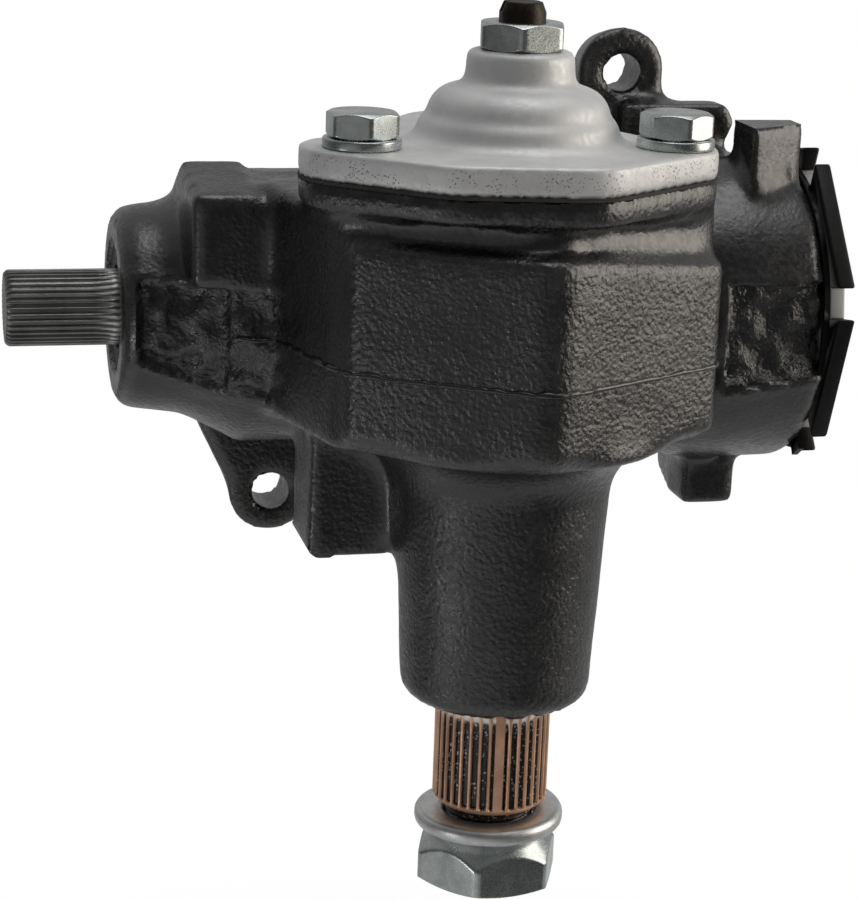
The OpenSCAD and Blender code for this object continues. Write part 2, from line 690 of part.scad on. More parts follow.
module sector_shaft() {
    hub_low = worm_height - sector_face / 2;
    slot_w = 2 * (lash_head_r + 0.4);
    neck_w = 2 * (lash_r + 0.5);
    spline_in = 1.5;
    pitman_land_angle = -96;
    color("#8f8a84") difference() {
        union() {
            difference() {
                translate([0, 0, -pitman_length]) cylinder(r = pitman_r, h = pitman_length + spline_in + 1);
                translate([0, 0, -pitman_length + 3])
                    rotate([0, 0, pitman_land_angle]) difference() {
                        translate([0, 0, past])
                            serration_grooves(pitman_r, pitman_serration_depth, pitman_serrations,
                                1, pitman_length - 1.5);
                        translate([0, 0, -2 * past]) cylinder(r = pitman_r + past, h = 2 * past);
                    }
            }
            translate([0, 0, spline_in]) cylinder(r = sector_journal_r, h = hub_low - spline_in + 1);
            sector_teeth();
            translate([0, 0, worm_height]) cylinder(r = cover_journal_r, h = sector_top_z - worm_height);
            translate([0, 0, nut_low_z + 0.8])
                cylinder(r = pitman_thread_r, h = -pitman_length - nut_low_z + 1);
        }
        // T-slot for the lash adjuster's head
        translate([-sector_journal_r - past, -slot_w / 2, shim_z - 0.2])
            cube([2 * sector_journal_r + 2 * past, slot_w, head_top_z + 0.5 - shim_z]);
        translate([-sector_journal_r - past, -neck_w / 2, head_z])
            cube([2 * sector_journal_r + 2 * past, neck_w, sector_top_z - head_z + past]);
    }
}

module sector_bushing_upper() {
    color("#b08d4f") translate([0, 0, tube_mid_z + 2])
        ring(sector_bush_r, sector_journal_r + run_gap, floor_z - tube_mid_z - 2.5);
}

module sector_bushing_lower() {
    color("#b08d4f") translate([0, 0, seal_depth + 4])
        ring(sector_bush_r, sector_journal_r + run_gap, tube_mid_z - seal_depth - 6);
}

module sector_seal() {
    color("#262626") translate([0, 0, 1.6]) ring(sector_seal_r, sector_journal_r + run_gap, seal_depth - 1);
}

module pitman_lock_washer() {
    color("#9a9b98") translate([0, 0, washer_top_z - pitman_washer_t])
        split_washer(pitman_washer_r, pitman_thread_r + 0.2, pitman_washer_t, 75);
}

module pitman_nut() {
    color("#c2c6c6") difference() {
        translate([0, 0, nut_low_z]) rotate([0, 0, 8.5]) hex_blank(pitman_nut_flats, pitman_nut_t,
            pitman_nut_rim, pitman_nut_slope, pitman_nut_flats / 2);
        translate([0, 0, nut_low_z - past])
            cylinder(r = pitman_thread_r + seat_gap, h = pitman_nut_t + 2 * past);
    }
}

module worm_shaft() {
    race_half = cup_length / 2 - 0.5;
    inner_end = bearing_x - race_half;
    outer_end = bearing_x + race_half;
    color("#6b6a68") difference() {
        union() {
            at_worm() helix_solid(worm_half_length, false);
            worm_turned([
                [0, -worm_half_length + 2], [worm_neck_r, -worm_half_length + 2], [worm_neck_r, -inner_end],
                [race_r, -inner_end], [race_r, -outer_end], [seal_journal_r, -outer_end],
                [seal_journal_r, -input_face_x + 0.5], [input_r, -input_face_x - 0.6],
                [input_r, -input_face_x - input_length + 0.8], [input_r - 0.8, -input_face_x - input_length],
                [0, -input_face_x - input_length]]);
            worm_turned([
                [0, worm_half_length - 2], [worm_neck_r, worm_half_length - 2], [worm_neck_r, inner_end],
                [race_r, inner_end], [race_r, outer_end], [0, outer_end]]);
        }
        for (s = [-1, 1])
            at_worm() translate([s * bearing_x, 0, 0]) rotate([0, 90, 0])
                rotate_extrude() translate([bearing_circle_r, 0]) circle(r = race_groove_r);
        at_worm() translate([-input_face_x - input_length, 0, 0]) rotate([0, 90, 0])
            serration_grooves(input_r, input_serration_depth, input_serrations, 0, input_length - 1.5);
    }
}

// Rack teeth along the nut, drawn from the nut's face
module rack_teeth() {
    root_half = tooth_half + tooth_dedendum * tan(pressure_angle);
    tip_half = tooth_half - tooth_addendum * tan(pressure_angle);
    translate([0, 0, -rack_width / 2]) linear_extrude(rack_width)
        for (i = [-3:2])
            translate([(i + 0.5) * tooth_pitch, 0])
                polygon([[-root_half, -rack_root + 1], [-root_half, -rack_root], [-tip_half, -rack_tip],
                    [tip_half, -rack_tip], [root_half, -rack_root], [root_half, -rack_root + 1]]);
}

// Runs children for both ball circuits with their guide leg places
module each_circuit() {
    for (start = circuit_starts) {
        $leg_a = start * ball_lead;
        $leg_b = (start + circuit_turns) * ball_lead;
        $first_turn = start;
        children();
    }
}

module ball_nut() {
    corner_r = nut_half_height + 5.5;
    color("#7a7875") at_worm() difference() {
        union() {
            intersection() {
                translate([-nut_half_length, 0, 0]) rotate([0, 90, 0])
                    cylinder(r = corner_r, h = 2 * nut_half_length);
                translate([-nut_half_length, -rack_root, -nut_half_height])
                    cube([2 * nut_half_length, rack_root + nut_back, 2 * nut_half_height]);
            }
            rack_teeth();
        }
        helix_solid(nut_half_length + past, true);
        each_circuit() {
            for (leg = [[$leg_a, 1], [$leg_b, -1]])
                translate([leg[0], 0, leg[1] * track_circle_r]) rotate([-90, 0, 0])
                    cylinder(r = guide_r + 0.1, h = nut_back + past);
        }
        for (s = [-1, 1])
            translate([s * clamp_screw_x, nut_land_r + track_r, 0]) rotate([-90, 0, 0])
                cylinder(r = clamp_screw_r + seat_gap, h = nut_back);
    }
}

module track_ball(p) {
    translate(p) sphere(d = track_ball_d);
}

module track_balls() {
    circuit_balls = floor(circuit_turns * 360 / ball_step);
    color("#b5b7b8") at_worm() each_circuit() {
        for (i = [0:circuit_balls]) {
            turn = $first_turn + i * circuit_turns / circuit_balls;
            phi = turn * 360;
            track_ball([turn * ball_lead, track_circle_r * cos(phi), track_circle_r * sin(phi)]);
        }
        for (s = [-1, 0, 1])
            track_ball([($leg_a + $leg_b) / 2 + s * ($leg_b - $leg_a) * 0.24, guide_bar_y,
                -s * track_circle_r * 0.48]);
    }
}

// One guide: leg, bend, bar, bend and leg of the given radius, lengthened by extra at its ends
module guide_sweep(r, extra) {
    dx = $leg_b - $leg_a;
    span = norm([dx, 2 * track_circle_r]);
    bar = span - 2 * guide_bend_r;
    translate([($leg_a + $leg_b) / 2, 0, 0]) rotate([0, atan2(2 * track_circle_r, dx), 0]) {
        translate([-bar / 2, guide_bar_y, 0]) rotate([0, 90, 0]) cylinder(r = r, h = bar);
        for (s = [-1, 1]) {
            translate([s * span / 2, guide_leg_start - extra, 0]) rotate([-90, 0, 0])
                cylinder(r = r, h = guide_leg_y - guide_leg_start + extra);
            translate([s * bar / 2, guide_leg_y, 0]) rotate([0, 0, s > 0 ? 0 : 90])
                rotate_extrude(angle = 90) translate([guide_bend_r, 0]) circle(r = r);
        }
    }
}

module ball_guides() {
    color("#a8a9a6") at_worm() each_circuit() {
        difference() {
            guide_sweep(guide_r, 0);
            guide_sweep(guide_bore_r, past);
        }
    }
}

module guide_clamp() {
    top = clamp_top + 0.05;
    color("#8d8f8c") at_worm() difference() {
        translate([0, 0, -clamp_width / 2]) linear_extrude(clamp_width) polygon([
            [-clamp_foot, nut_back], [clamp_foot, nut_back], [clamp_foot, top], [clamp_reach, top],
            [clamp_reach, top + clamp_plate], [clamp_foot - clamp_plate, top + clamp_plate],
            [clamp_foot - clamp_plate, nut_back + clamp_plate],
            [clamp_plate - clamp_foot, nut_back + clamp_plate],
            [clamp_plate - clamp_foot, top + clamp_plate], [-clamp_reach, top + clamp_plate],
            [-clamp_reach, top], [-clamp_foot, top]]);
        for (s = [-1, 1])
            translate([s * clamp_screw_x, nut_back - past, 0]) rotate([-90, 0, 0])
                cylinder(r = clamp_screw_r + seat_gap, h = clamp_plate + 2 * past);
    }
}

module clamp_screws() {
    depth = nut_back + clamp_plate - nut_land_r - track_r;
    color("#9c9c9a") at_worm() for (s = [-1, 1])
        translate([s * clamp_screw_x, nut_land_r + track_r, 0]) rotate([-90, 0, 0]) {
            cylinder(r = clamp_screw_r, h = depth + 1);
            translate([0, 0, depth]) cylinder(r = clamp_head_r, h = 2.4);
        }
}

module input_seal() {
    color("#1f1f1f")
        worm_ring(input_seal_r, seal_journal_r + run_gap, -input_face_x + 1, -input_face_x + seal_depth);
}

// Ring about the worm axis between two X places
module worm_ring(outer, inner, x0, x1) {
    at_worm() translate([x0, 0, 0]) rotate([0, 90, 0]) ring(outer, inner, x1 - x0);
}

// Bearing pieces, centred on the given X place
module bearing_cup(x) {
    color("#8a8c8e") difference() {
        worm_ring(cup_r, cup_bore_r, x - cup_length / 2, x + cup_length / 2);
        at_worm() translate([x, 0, 0]) rotate([0, 90, 0])
            rotate_extrude() translate([bearing_circle_r, 0]) circle(r = race_groove_r);
    }
}

module bearing_cage(x) {
    half = cup_length / 2 - 0.8;
    color("#9b8550") difference() {
        worm_ring(cup_bore_r - 0.4, race_r + 0.4, x - half, x + half);
        at_worm() for (i = [0:bearing_balls - 1])
            rotate([i * 360 / bearing_balls, 0, 0]) translate([x, 0, race_r - 0.5])
                cylinder(r = bearing_ball_d / 2 + 0.15, h = cup_r - race_r);
    }
}

module bearing_ball_set(x) {
    color("#b5b7b8") at_worm() for (i = [0:bearing_balls - 1])
        rotate([i * 360 / bearing_balls, 0, 0]) translate([x, 0, bearing_circle_r]) sphere(d = bearing_ball_d);
}

module upper_bearing_cup() {
    bearing_cup(-bearing_x);
}

module upper_bearing_cage() {
    bearing_cage(-bearing_x);
}

module upper_bearing_balls() {
    bearing_ball_set(-bearing_x);
}

module lower_bearing_cup() {
    bearing_cup(bearing_x);
}

module lower_bearing_cage() {
    bearing_cage(bearing_x);
}

module lower_bearing_balls() {
    bearing_ball_set(bearing_x);
}

module bearing_adjuster() {
    seat_x = bearing_x + cup_length / 2;
    outer_x = end_face_x + tab_washer_t + lock_ring_t + 1;
    recess = 5;
    adjuster_flats = 24;
    color("#55565a") difference() {
        worm_turned([
            [0, adjuster_start_x], [adjuster_r - seat_gap, adjuster_start_x],
            [adjuster_r - seat_gap, outer_x - 1], [adjuster_r - 1, outer_x], [0, outer_x]]);
        worm_cylinder(cup_r + seat_gap, adjuster_start_x - past, seat_x);
        worm_cylinder(race_r + 1.5, adjuster_start_x, seat_x + 4);
        // Recess around the hexagon that turns the adjuster
        difference() {
            worm_cylinder(adjuster_r - 9, outer_x - recess, outer_x + past);
            at_worm() translate([outer_x - recess - past, 0, 0]) rotate([0, 90, 0])
                cylinder(r = adjuster_flats / sqrt(3), h = recess + 2 * past, $fn = 6);
        }
    }
}

module adjuster_lock_ring() {
    ring_x = end_face_x + tab_washer_t;
    notch_turn = 9.5;
    notch_floor = adjuster_r + 3;
    notch_w = 2 * lock_ring_r * sin(lock_notch_angle / 2);
    color("#202124") at_worm() translate([ring_x, 0, 0]) rotate([-notch_turn, 0, 0]) rotate([0, 90, 0])
        difference() {
            rotate([0, 0, 90]) cylinder(r = lock_ring_r, h = lock_ring_t, $fn = 6);
            translate([0, 0, -past]) cylinder(r = adjuster_r, h = lock_ring_t + 2 * past);
            for (i = [0:5])
                rotate([0, 0, 90 + 60 * i]) translate([notch_floor, -notch_w / 2, -past])
                    cube([lock_ring_r, notch_w, lock_ring_t + 2 * past]);
        }
}

module lock_tab_washer() {
    tab_w = 5;
    washer_r = adjuster_r + 4;
    color("#2a2a2c") {
        worm_ring(washer_r, adjuster_r, end_face_x, end_face_x + tab_washer_t);
        for (turn = [60, 236])
            at_worm() rotate([turn, 0, 0]) translate([end_face_x, washer_r - 1, -tab_w / 2])
                cube([tab_washer_t, collar_r - washer_r + 2.5, tab_w]);
    }
}

housing();
side_cover();
cover_gasket();
cover_bolts();
cover_lock_washers();
cover_bushing();
lash_adjuster_screw();
lash_shim();
lash_locknut();
sector_shaft();
sector_bushing_upper();
sector_bushing_lower();
sector_seal();
pitman_lock_washer();
pitman_nut();
worm_shaft();
ball_nut();
track_balls();
ball_guides();
guide_clamp();
clamp_screws();
input_seal();
upper_bearing_cup();
upper_bearing_cage();
upper_bearing_balls();
lower_bearing_cup();
lower_bearing_cage();
lower_bearing_balls();
bearing_adjuster();
adjuster_lock_ring();
lock_tab_washer();
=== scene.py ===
"""Looks of the steering gearbox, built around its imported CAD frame.

Every piece stands where its CAD node stands, in metres: X along the worm, Z up the sector shaft. The housing
and the side cover are remeshed from their solids and softened as cast metal is. Nuts, bolts, washers and
serrated shaft ends are made anew with the chamfers, splits and run-outs that such pieces have. The sealed
inner pieces keep their solids and get a finish.
"""
import json
import math
from functools import partial

import bmesh
import bpy
import numpy as np
from mathutils import Matrix, Vector, noise
from mathutils.bvhtree import BVHTree


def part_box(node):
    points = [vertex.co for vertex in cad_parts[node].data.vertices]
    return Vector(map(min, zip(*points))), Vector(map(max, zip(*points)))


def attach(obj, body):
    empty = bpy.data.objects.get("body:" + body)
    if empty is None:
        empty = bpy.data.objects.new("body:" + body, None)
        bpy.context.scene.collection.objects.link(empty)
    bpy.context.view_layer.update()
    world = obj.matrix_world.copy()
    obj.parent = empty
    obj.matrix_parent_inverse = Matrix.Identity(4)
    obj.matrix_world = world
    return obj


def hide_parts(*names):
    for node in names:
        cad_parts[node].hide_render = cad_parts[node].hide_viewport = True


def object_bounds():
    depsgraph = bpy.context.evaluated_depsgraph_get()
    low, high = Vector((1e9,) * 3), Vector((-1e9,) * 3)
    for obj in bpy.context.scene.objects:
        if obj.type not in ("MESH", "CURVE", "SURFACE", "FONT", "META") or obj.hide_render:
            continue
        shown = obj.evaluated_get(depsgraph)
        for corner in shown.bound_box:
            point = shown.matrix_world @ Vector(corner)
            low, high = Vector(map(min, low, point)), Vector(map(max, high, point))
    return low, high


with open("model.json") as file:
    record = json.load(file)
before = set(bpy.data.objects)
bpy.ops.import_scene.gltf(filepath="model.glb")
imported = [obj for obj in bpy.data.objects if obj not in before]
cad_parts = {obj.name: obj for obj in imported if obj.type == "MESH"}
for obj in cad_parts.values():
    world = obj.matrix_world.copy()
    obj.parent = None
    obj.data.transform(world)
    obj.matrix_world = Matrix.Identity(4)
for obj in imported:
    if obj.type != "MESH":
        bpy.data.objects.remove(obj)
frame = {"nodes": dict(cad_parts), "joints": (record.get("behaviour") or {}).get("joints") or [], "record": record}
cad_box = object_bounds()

MM = 0.001
TURN = 2 * math.pi

# Camera, fitted to the round edges in the photograph: its place around the gear, in degrees, and its lens
CAMERA_AZIMUTH = -13.39
CAMERA_ELEVATION = 15.32
CAMERA_ROLL = 2.03
CAMERA_DISTANCE = 613.9 * MM
CAMERA_SIDE = -18.1 * MM
CAMERA_HEIGHT = 60.8 * MM
CAMERA_LENS = 101.57
SENSOR_HEIGHT = 36

# Slots, bodies and places that the CAD frame gives
slot_of = {part["node"]: part["material_slot"] for part in frame["record"]["subparts"]}
body_of = {node: body for body, nodes in frame["record"]["behaviour"]["bodies"].items() for node in nodes}
worm_axis = next(Vector(joint["pos_m"]) for joint in frame["joints"] if joint["name"] == "worm_turn")
node_box = {node: tuple(np.array(corner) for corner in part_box(node)) for node in frame["nodes"]}
cover_face = node_box["cover_gasket"][0][2]
flange_top = node_box["cover_lock_washers"][0][2]
end_face = node_box["lock_tab_washer"][0][0]
input_face = node_box["housing"][0][0]
tube_end = node_box["housing"][0][2]


# Node trees

def add(tree, kind, inputs=None, **settings):
    """Adds a node, a shader's unless its kind names another sort. Inputs that are sockets are linked, others set."""
    node = tree.nodes.new(kind if "Node" in kind else "ShaderNode" + kind)
    for name, value in settings.items():
        setattr(node, name, value)
    for name, value in (inputs or {}).items():
        if isinstance(value, bpy.types.NodeSocket):
            tree.links.new(value, node.inputs[name])
        else:
            node.inputs[name].default_value = value
    return node


def calc(operation, *values, clamp=False):
    """Adds a math node to the tree that its first socket is in, and returns its result."""
    tree = next(value.id_data for value in values if isinstance(value, bpy.types.NodeSocket))
    node = add(tree, "Math", dict(enumerate(values)), operation=operation, use_clamp=clamp)
    return node.outputs[0]


# Short names for the sums that the trees use most
times, over, plus, minus, larger = (
    partial(calc, operation) for operation in ("MULTIPLY", "DIVIDE", "ADD", "SUBTRACT", "MAXIMUM"))


def link(source, goal):
    goal.id_data.links.new(source, goal)


def blend_range(value, start, end, to_start=0.0, to_end=1.0):
    """Maps a value smoothly from one range to another and returns the result."""
    node = add(value.id_data, "MapRange", {
        "Value": value, "From Min": start, "From Max": end, "To Min": to_start, "To Max": to_end},
        interpolation_type="SMOOTHSTEP")
    return node.outputs["Result"]


def blend_colour(mask, first, second):
    """Mixes two colours by a mask and returns the result."""
    return add(mask.id_data, "Mix", {0: mask, 6: first, 7: second}, data_type="RGBA").outputs[2]


def shader_group(name, inputs, outputs):
    """Starts a shader node group and returns its tree, what it is given and what it puts out. An input is a vector
    if its default is one, and any other socket is a float."""
    tree = bpy.data.node_groups.new(name, "ShaderNodeTree")
    for label, default in inputs.items():
        kind = "NodeSocketVector" if isinstance(default, tuple) else "NodeSocketFloat"
        tree.interface.new_socket(label, in_out="INPUT", socket_type=kind).default_value = default
    for label in outputs:
        tree.interface.new_socket(label, in_out="OUTPUT", socket_type="NodeSocketFloat")
    return tree, add(tree, "NodeGroupInput").outputs, add(tree, "NodeGroupOutput").inputs


def object_point(tree):
    return add(tree, "TexCoord").outputs["Object"]


def point_value(tree, name):
    """Value that a piece's points store under a name."""
    return add(tree, "Attribute", attribute_name=name).outputs["Fac"]


def noise_of(scale, factor, detail, roughness=0.5):
    """Noise on a piece, at a multiple of a scale."""
    tree = scale.id_data
    return add(tree, "TexNoise", {"Vector": object_point(tree), "Scale": times(scale, factor),
                                  "Detail": detail, "Roughness": roughness}).outputs["Fac"]


def make_cast_grain():
    """Pebbled skin of sand-cast metal under paint: cells of about the grain's size, broken up by finer noise."""
    tree, given, result = shader_group("cast_grain", {"Grain": 800, "Rough patch": 0}, ["Height"])
    cells = add(tree, "TexVoronoi", {"Vector": object_point(tree), "Scale": given["Grain"], "Smoothness": 0.6},
                feature="SMOOTH_F1").outputs["Distance"]
    fine = noise_of(given["Grain"], 1.3, 3, 0.6)
    broad = noise_of(given["Grain"], 0.3, 4, 0.65)
    pebbles = minus(1, cells)
    grain = calc("MULTIPLY_ADD", pebbles, 0.4, times(fine, 0.6))
    scars = times(given["Rough patch"], times(broad, 2.5))
    link(plus(grain, scars), result["Height"])
    return tree


def make_edge_wear():
    """Worn edges: the piece's edge attribute, broken up by noise."""
    tree, given, result = shader_group("edge_wear", {"Amount": 1, "Grain": 400}, ["Mask"])
    chips = noise_of(given["Grain"], 1, 4, 0.7)
    worn = times(point_value(tree, "edge"), given["Amount"])
    link(blend_range(times(worn, chips), 0.18, 0.42), result["Mask"])
    return tree


def make_handling():
    """Cloudy film of oil, dust and handling, at the scale of fingers, with fine streaks in it."""
    tree, given, result = shader_group("handling", {"Scale": 40}, ["Mask", "Streaks"])
    for label, factor, detail, roughness in (("Mask", 1, 5, 0.6), ("Streaks", 14, 3, 0.5)):
        film = noise_of(given["Scale"], factor, detail, roughness)
        link(blend_range(film, 0.3, 0.7), result[label])
    return tree


def make_pits():
    """Scattered small ragged pits: the hearts of some cells, where a broad noise lets them appear."""
    tree, given, result = shader_group("pits", {"Scale": 600, "Size": 0.25, "Share": 0.5}, ["Mask"])
    cells = add(tree, "TexVoronoi", {"Vector": object_point(tree), "Scale": given["Scale"]}).outputs["Distance"]
    ragged = noise_of(given["Scale"], 1.6, 3)
    broad = noise_of(given["Scale"], 0.12, 3)
    reach = calc("MULTIPLY_ADD", minus(ragged, 0.5), 1.2, cells)
    hearts = blend_range(minus(given["Size"], reach), -0.04, 0.12)
    chosen = blend_range(minus(given["Share"], broad), -0.05, 0.08)
    link(times(hearts, chosen), result["Mask"])
    return tree


cast_grain = make_cast_grain()
edge_wear = make_edge_wear()
handling = make_handling()
pits = make_pits()


def use(tree, group, **values):
    """Places a node group in a material with its own values and returns its outputs."""
    return add(tree, "Group", {name.replace("_", " "): value for name, value in values.items()},
               node_tree=group).outputs


def finish(name, **constants):
    """Starts a material and returns it with its tree and its shader; the constants are set on the shader."""
    material = bpy.data.materials.new(name)
    material.use_nodes = True
    tree = material.node_tree
    shader = tree.nodes["Principled BSDF"]
    for socket, value in constants.items():
        shader.inputs[socket.replace("_", " ")].default_value = value
    return material, tree, shader


def set_bump(shader, height, depth, strength=1.0):
    """Feeds a height to the shader's normal; depth is in metres."""
    bump = add(shader.id_data, "Bump", {"Height": height, "Distance": depth, "Strength": strength})
    link(bump.outputs["Normal"], shader.inputs["Normal"])


def set_surface(shader, colour, film, smooth, rough):
    """Feeds the shader's colour, and its roughness from the streaks in a film."""
    link(colour, shader.inputs["Base Color"])
    link(blend_range(film["Streaks"], 0, 1, smooth, rough), shader.inputs["Roughness"])


def make_painted_casting():
    material, tree, shader = finish("painted_casting", Specular_IOR_Level=1.0)
    grain = use(tree, cast_grain, Grain=820, Rough_patch=point_value(tree, "rough_patch"))
    film = use(tree, handling, Scale=45)
    worn = use(tree, edge_wear, Amount=0.8, Grain=500)["Mask"]
    paint = blend_colour(film["Mask"], (0.004, 0.004, 0.0045, 1), (0.008, 0.0078, 0.0075, 1))
    set_surface(shader, blend_colour(worn, paint, (0.02, 0.0195, 0.019, 1)), film, 0.22, 0.34)
    clouded = calc("MULTIPLY_ADD", film["Mask"], 0.6, 0.6)
    uneven = times(point_value(tree, "grain"), clouded)
    set_bump(shader, times(grain["Height"], uneven), 0.42 * MM)
    return material


def make_cast_aluminium():
    material, tree, shader = finish("cast_aluminium", Metallic=0.55)
    grain = use(tree, cast_grain, Grain=1500)
    film = use(tree, handling, Scale=55)
    spots = use(tree, pits, Scale=1500, Size=0.3, Share=0.52)["Mask"]
    spots = times(point_value(tree, "rim"), spots)
    metal = blend_colour(film["Mask"], (0.57, 0.575, 0.575, 1), (0.69, 0.69, 0.685, 1))
    set_surface(shader, blend_colour(spots, metal, (0.24, 0.225, 0.2, 1)), film, 0.48, 0.6)
    set_bump(shader, minus(grain["Height"], spots), 0.06 * MM, 0.6)
    return material


def make_coppered_steel():
    """Serrated end of the sector shaft: coppered crests, and black grooves with bright specks."""
    material, tree, shader = finish("coppered_steel", Metallic=0.7)
    film = use(tree, handling, Scale=120)
    specks = use(tree, pits, Scale=1100, Size=0.3, Share=0.56)["Mask"]
    copper = blend_colour(film["Mask"], (0.64, 0.37, 0.235, 1), (0.85, 0.53, 0.36, 1))
    crest = blend_colour(point_value(tree, "bare"), copper, (0.85, 0.84, 0.82, 1))
    dark = blend_colour(specks, (0.055, 0.052, 0.048, 1), (0.5, 0.5, 0.51, 1))
    sunk = blend_range(point_value(tree, "groove"), 0.25, 0.55)
    set_surface(shader, blend_colour(sunk, crest, dark), film, 0.32, 0.48)
    set_bump(shader, use(tree, cast_grain, Grain=1900)["Height"], 0.08 * MM, 0.6)
    return material


def make_metal(name, dark, light, smooth, rough, rubbed=None, wear=(0.8, 600), cloud=120, grain=2000, depth=0.04,
               metallic=1.0, specular=0.5):
    """A plain finish with clouded colour, uneven gloss, rubbed edges and a fine grain, which can be bare or oiled in
    places."""
    material, tree, shader = finish(name, Metallic=metallic, Specular_IOR_Level=specular)
    film = use(tree, handling, Scale=cloud)
    worn = use(tree, edge_wear, Amount=wear[0], Grain=wear[1])["Mask"]
    plain = blend_colour(film["Mask"], (*dark, 1), (*light, 1))
    plain = blend_colour(point_value(tree, "bare"), plain, (0.8, 0.79, 0.77, 1))
    plain = blend_colour(point_value(tree, "oiled"), plain, (0.045, 0.038, 0.032, 1))
    rubbed = rubbed or (min(1, 1.5 * v) for v in light)
    set_surface(shader, blend_colour(worn, plain, (*rubbed, 1)), film, smooth, rough)
    set_bump(shader, use(tree, cast_grain, Grain=grain)["Height"], depth * MM, 0.7)
    return material


finishes = {"painted_casting": make_painted_casting(), "cast_aluminium": make_cast_aluminium(),
            "coppered_steel": make_coppered_steel()}
# Plain finishes: dark and light colour, least and most roughness, and what else differs
for name, dark, light, smooth, rough, other in (
        ("zinc_plate", (0.4, 0.44, 0.44), (0.6, 0.63, 0.61), 0.22, 0.34,
         dict(rubbed=(0.85, 0.86, 0.85), wear=(0.9, 700), cloud=170, grain=2600, depth=0.012)),
        ("dark_steel", (0.22, 0.222, 0.215), (0.33, 0.33, 0.32), 0.36, 0.5, dict(grain=1500, depth=0.05)),
        ("ground_steel", (0.42, 0.42, 0.42), (0.56, 0.56, 0.55), 0.22, 0.34, {}),
        ("washer_steel", (0.6, 0.61, 0.6), (0.8, 0.81, 0.8), 0.34, 0.46, dict(depth=0.05)),
        ("ball_steel", (0.6, 0.6, 0.61), (0.7, 0.7, 0.7), 0.08, 0.14, dict(depth=0.005)),
        ("cage_brass", (0.5, 0.36, 0.13), (0.62, 0.46, 0.2), 0.28, 0.4, {}),
        ("bushing_bronze", (0.42, 0.26, 0.11), (0.55, 0.36, 0.17), 0.3, 0.42, {}),
        ("black_steel", (0.005, 0.005, 0.005), (0.009, 0.009, 0.009), 0.36, 0.48,
         dict(grain=1400, depth=0.06, metallic=0.0, specular=0.2)),
        ("gasket_fibre", (0.018, 0.017, 0.015), (0.035, 0.032, 0.028), 0.7, 0.85,
         dict(grain=1800, depth=0.1, metallic=0.0)),
        ("seal_rubber", (0.012, 0.012, 0.012), (0.022, 0.021, 0.02), 0.5, 0.65,
         dict(grain=2200, depth=0.03, metallic=0.0))):
    finishes[name] = make_metal(name, dark, light, smooth, rough, **other)


# Meshes

def mesh_of(name, points, faces):
    mesh = bpy.data.meshes.new(name)
    mesh.from_pydata(np.asarray(points).tolist(), [], faces)
    mesh.update()
    return mesh


def shade(mesh, sharp_angle=38):
    """Smooth shading that breaks at edges sharper than the given angle."""
    mesh.polygons.foreach_set("use_smooth", np.ones(len(mesh.polygons), bool))
    mesh.set_sharp_from_angle(angle=math.radians(sharp_angle))
    return mesh


def point_values(mesh, name, values):
    """Stores one float for each point of a mesh under a name."""
    attribute = mesh.attributes.get(name) or mesh.attributes.new(name, "FLOAT", "POINT")
    attribute.data.foreach_set("value", np.asarray(values, np.float32))


def vectors(source, field):
    """A vector field of a mesh's points or normals, one row each."""
    values = np.zeros(len(source) * 3)
    source.foreach_get(field, values)
    return values.reshape(-1, 3)


def points_of(mesh):
    return vectors(mesh.vertices, "co")


def point_normals(mesh):
    return vectors(mesh.vertex_normals, "vector")


def reworked(name, mesh, change):
    """New mesh: a copy of a mesh after a change to its editable form."""
    work = bmesh.new()
    work.from_mesh(mesh)
    change(work)
    done = bpy.data.meshes.new(name)
    work.to_mesh(done)
    work.free()
    return done


def skin(name, rows, ring=False):
    """Closed mesh over rows of points that each run once around. A ring joins its last row to its first; other
    skins are capped at both ends from the middle of the end row."""
    count, around = rows.shape[:2]
    points = rows.reshape(-1, 3)
    index = np.arange(count * around).reshape(count, around)
    side = np.roll(index, -1, axis=1)
    last = count if ring else count - 1
    ahead, side_ahead = np.roll(index, -1, axis=0)[:last], np.roll(side, -1, axis=0)[:last]
    faces = np.stack([index[:last], side[:last], side_ahead, ahead], axis=-1).reshape(-1, 4).tolist()
    if not ring:
        points = np.vstack([points, rows[0].mean(axis=0), rows[-1].mean(axis=0)])
        faces += [[b, a, count * around] for a, b in zip(index[0], side[0])]
        faces += [[a, b, count * around + 1] for a, b in zip(index[-1], side[-1])]
    return reworked(name, mesh_of(name + "_faces", points, faces),
                    lambda work: bmesh.ops.recalc_face_normals(work, faces=work.faces))


def joined(name, meshes):
    """One mesh from several, with their float attributes kept; a mesh without one has 0 there."""
    labels = sorted({a.name for m in meshes for a in m.attributes if a.data_type == "FLOAT" and a.domain == "POINT"})
    points, faces, values, start = [], [], {label: [] for label in labels}, 0
    for mesh in meshes:
        points.append(points_of(mesh))
        faces += [[v + start for v in polygon.vertices] for polygon in mesh.polygons]
        for label in labels:
            column = np.zeros(len(mesh.vertices))
            if label in mesh.attributes:
                mesh.attributes[label].data.foreach_get("value", column)
            values[label].append(column)
        start += len(mesh.vertices)
    whole = mesh_of(name, np.vstack(points), faces)
    for label in labels:
        point_values(whole, label, np.concatenate(values[label]))
    return whole


def solid_copy(node):
    """Merged copy of a CAD node's triangles."""
    return reworked(node + "_copy", frame["nodes"][node].data,
                    lambda work: bmesh.ops.remove_doubles(work, verts=work.verts, dist=0.002 * MM))


def stand(name, data):
    """Puts a new object in the scene."""
    thing = bpy.data.objects.new(name, data)
    bpy.context.scene.collection.objects.link(thing)
    return thing


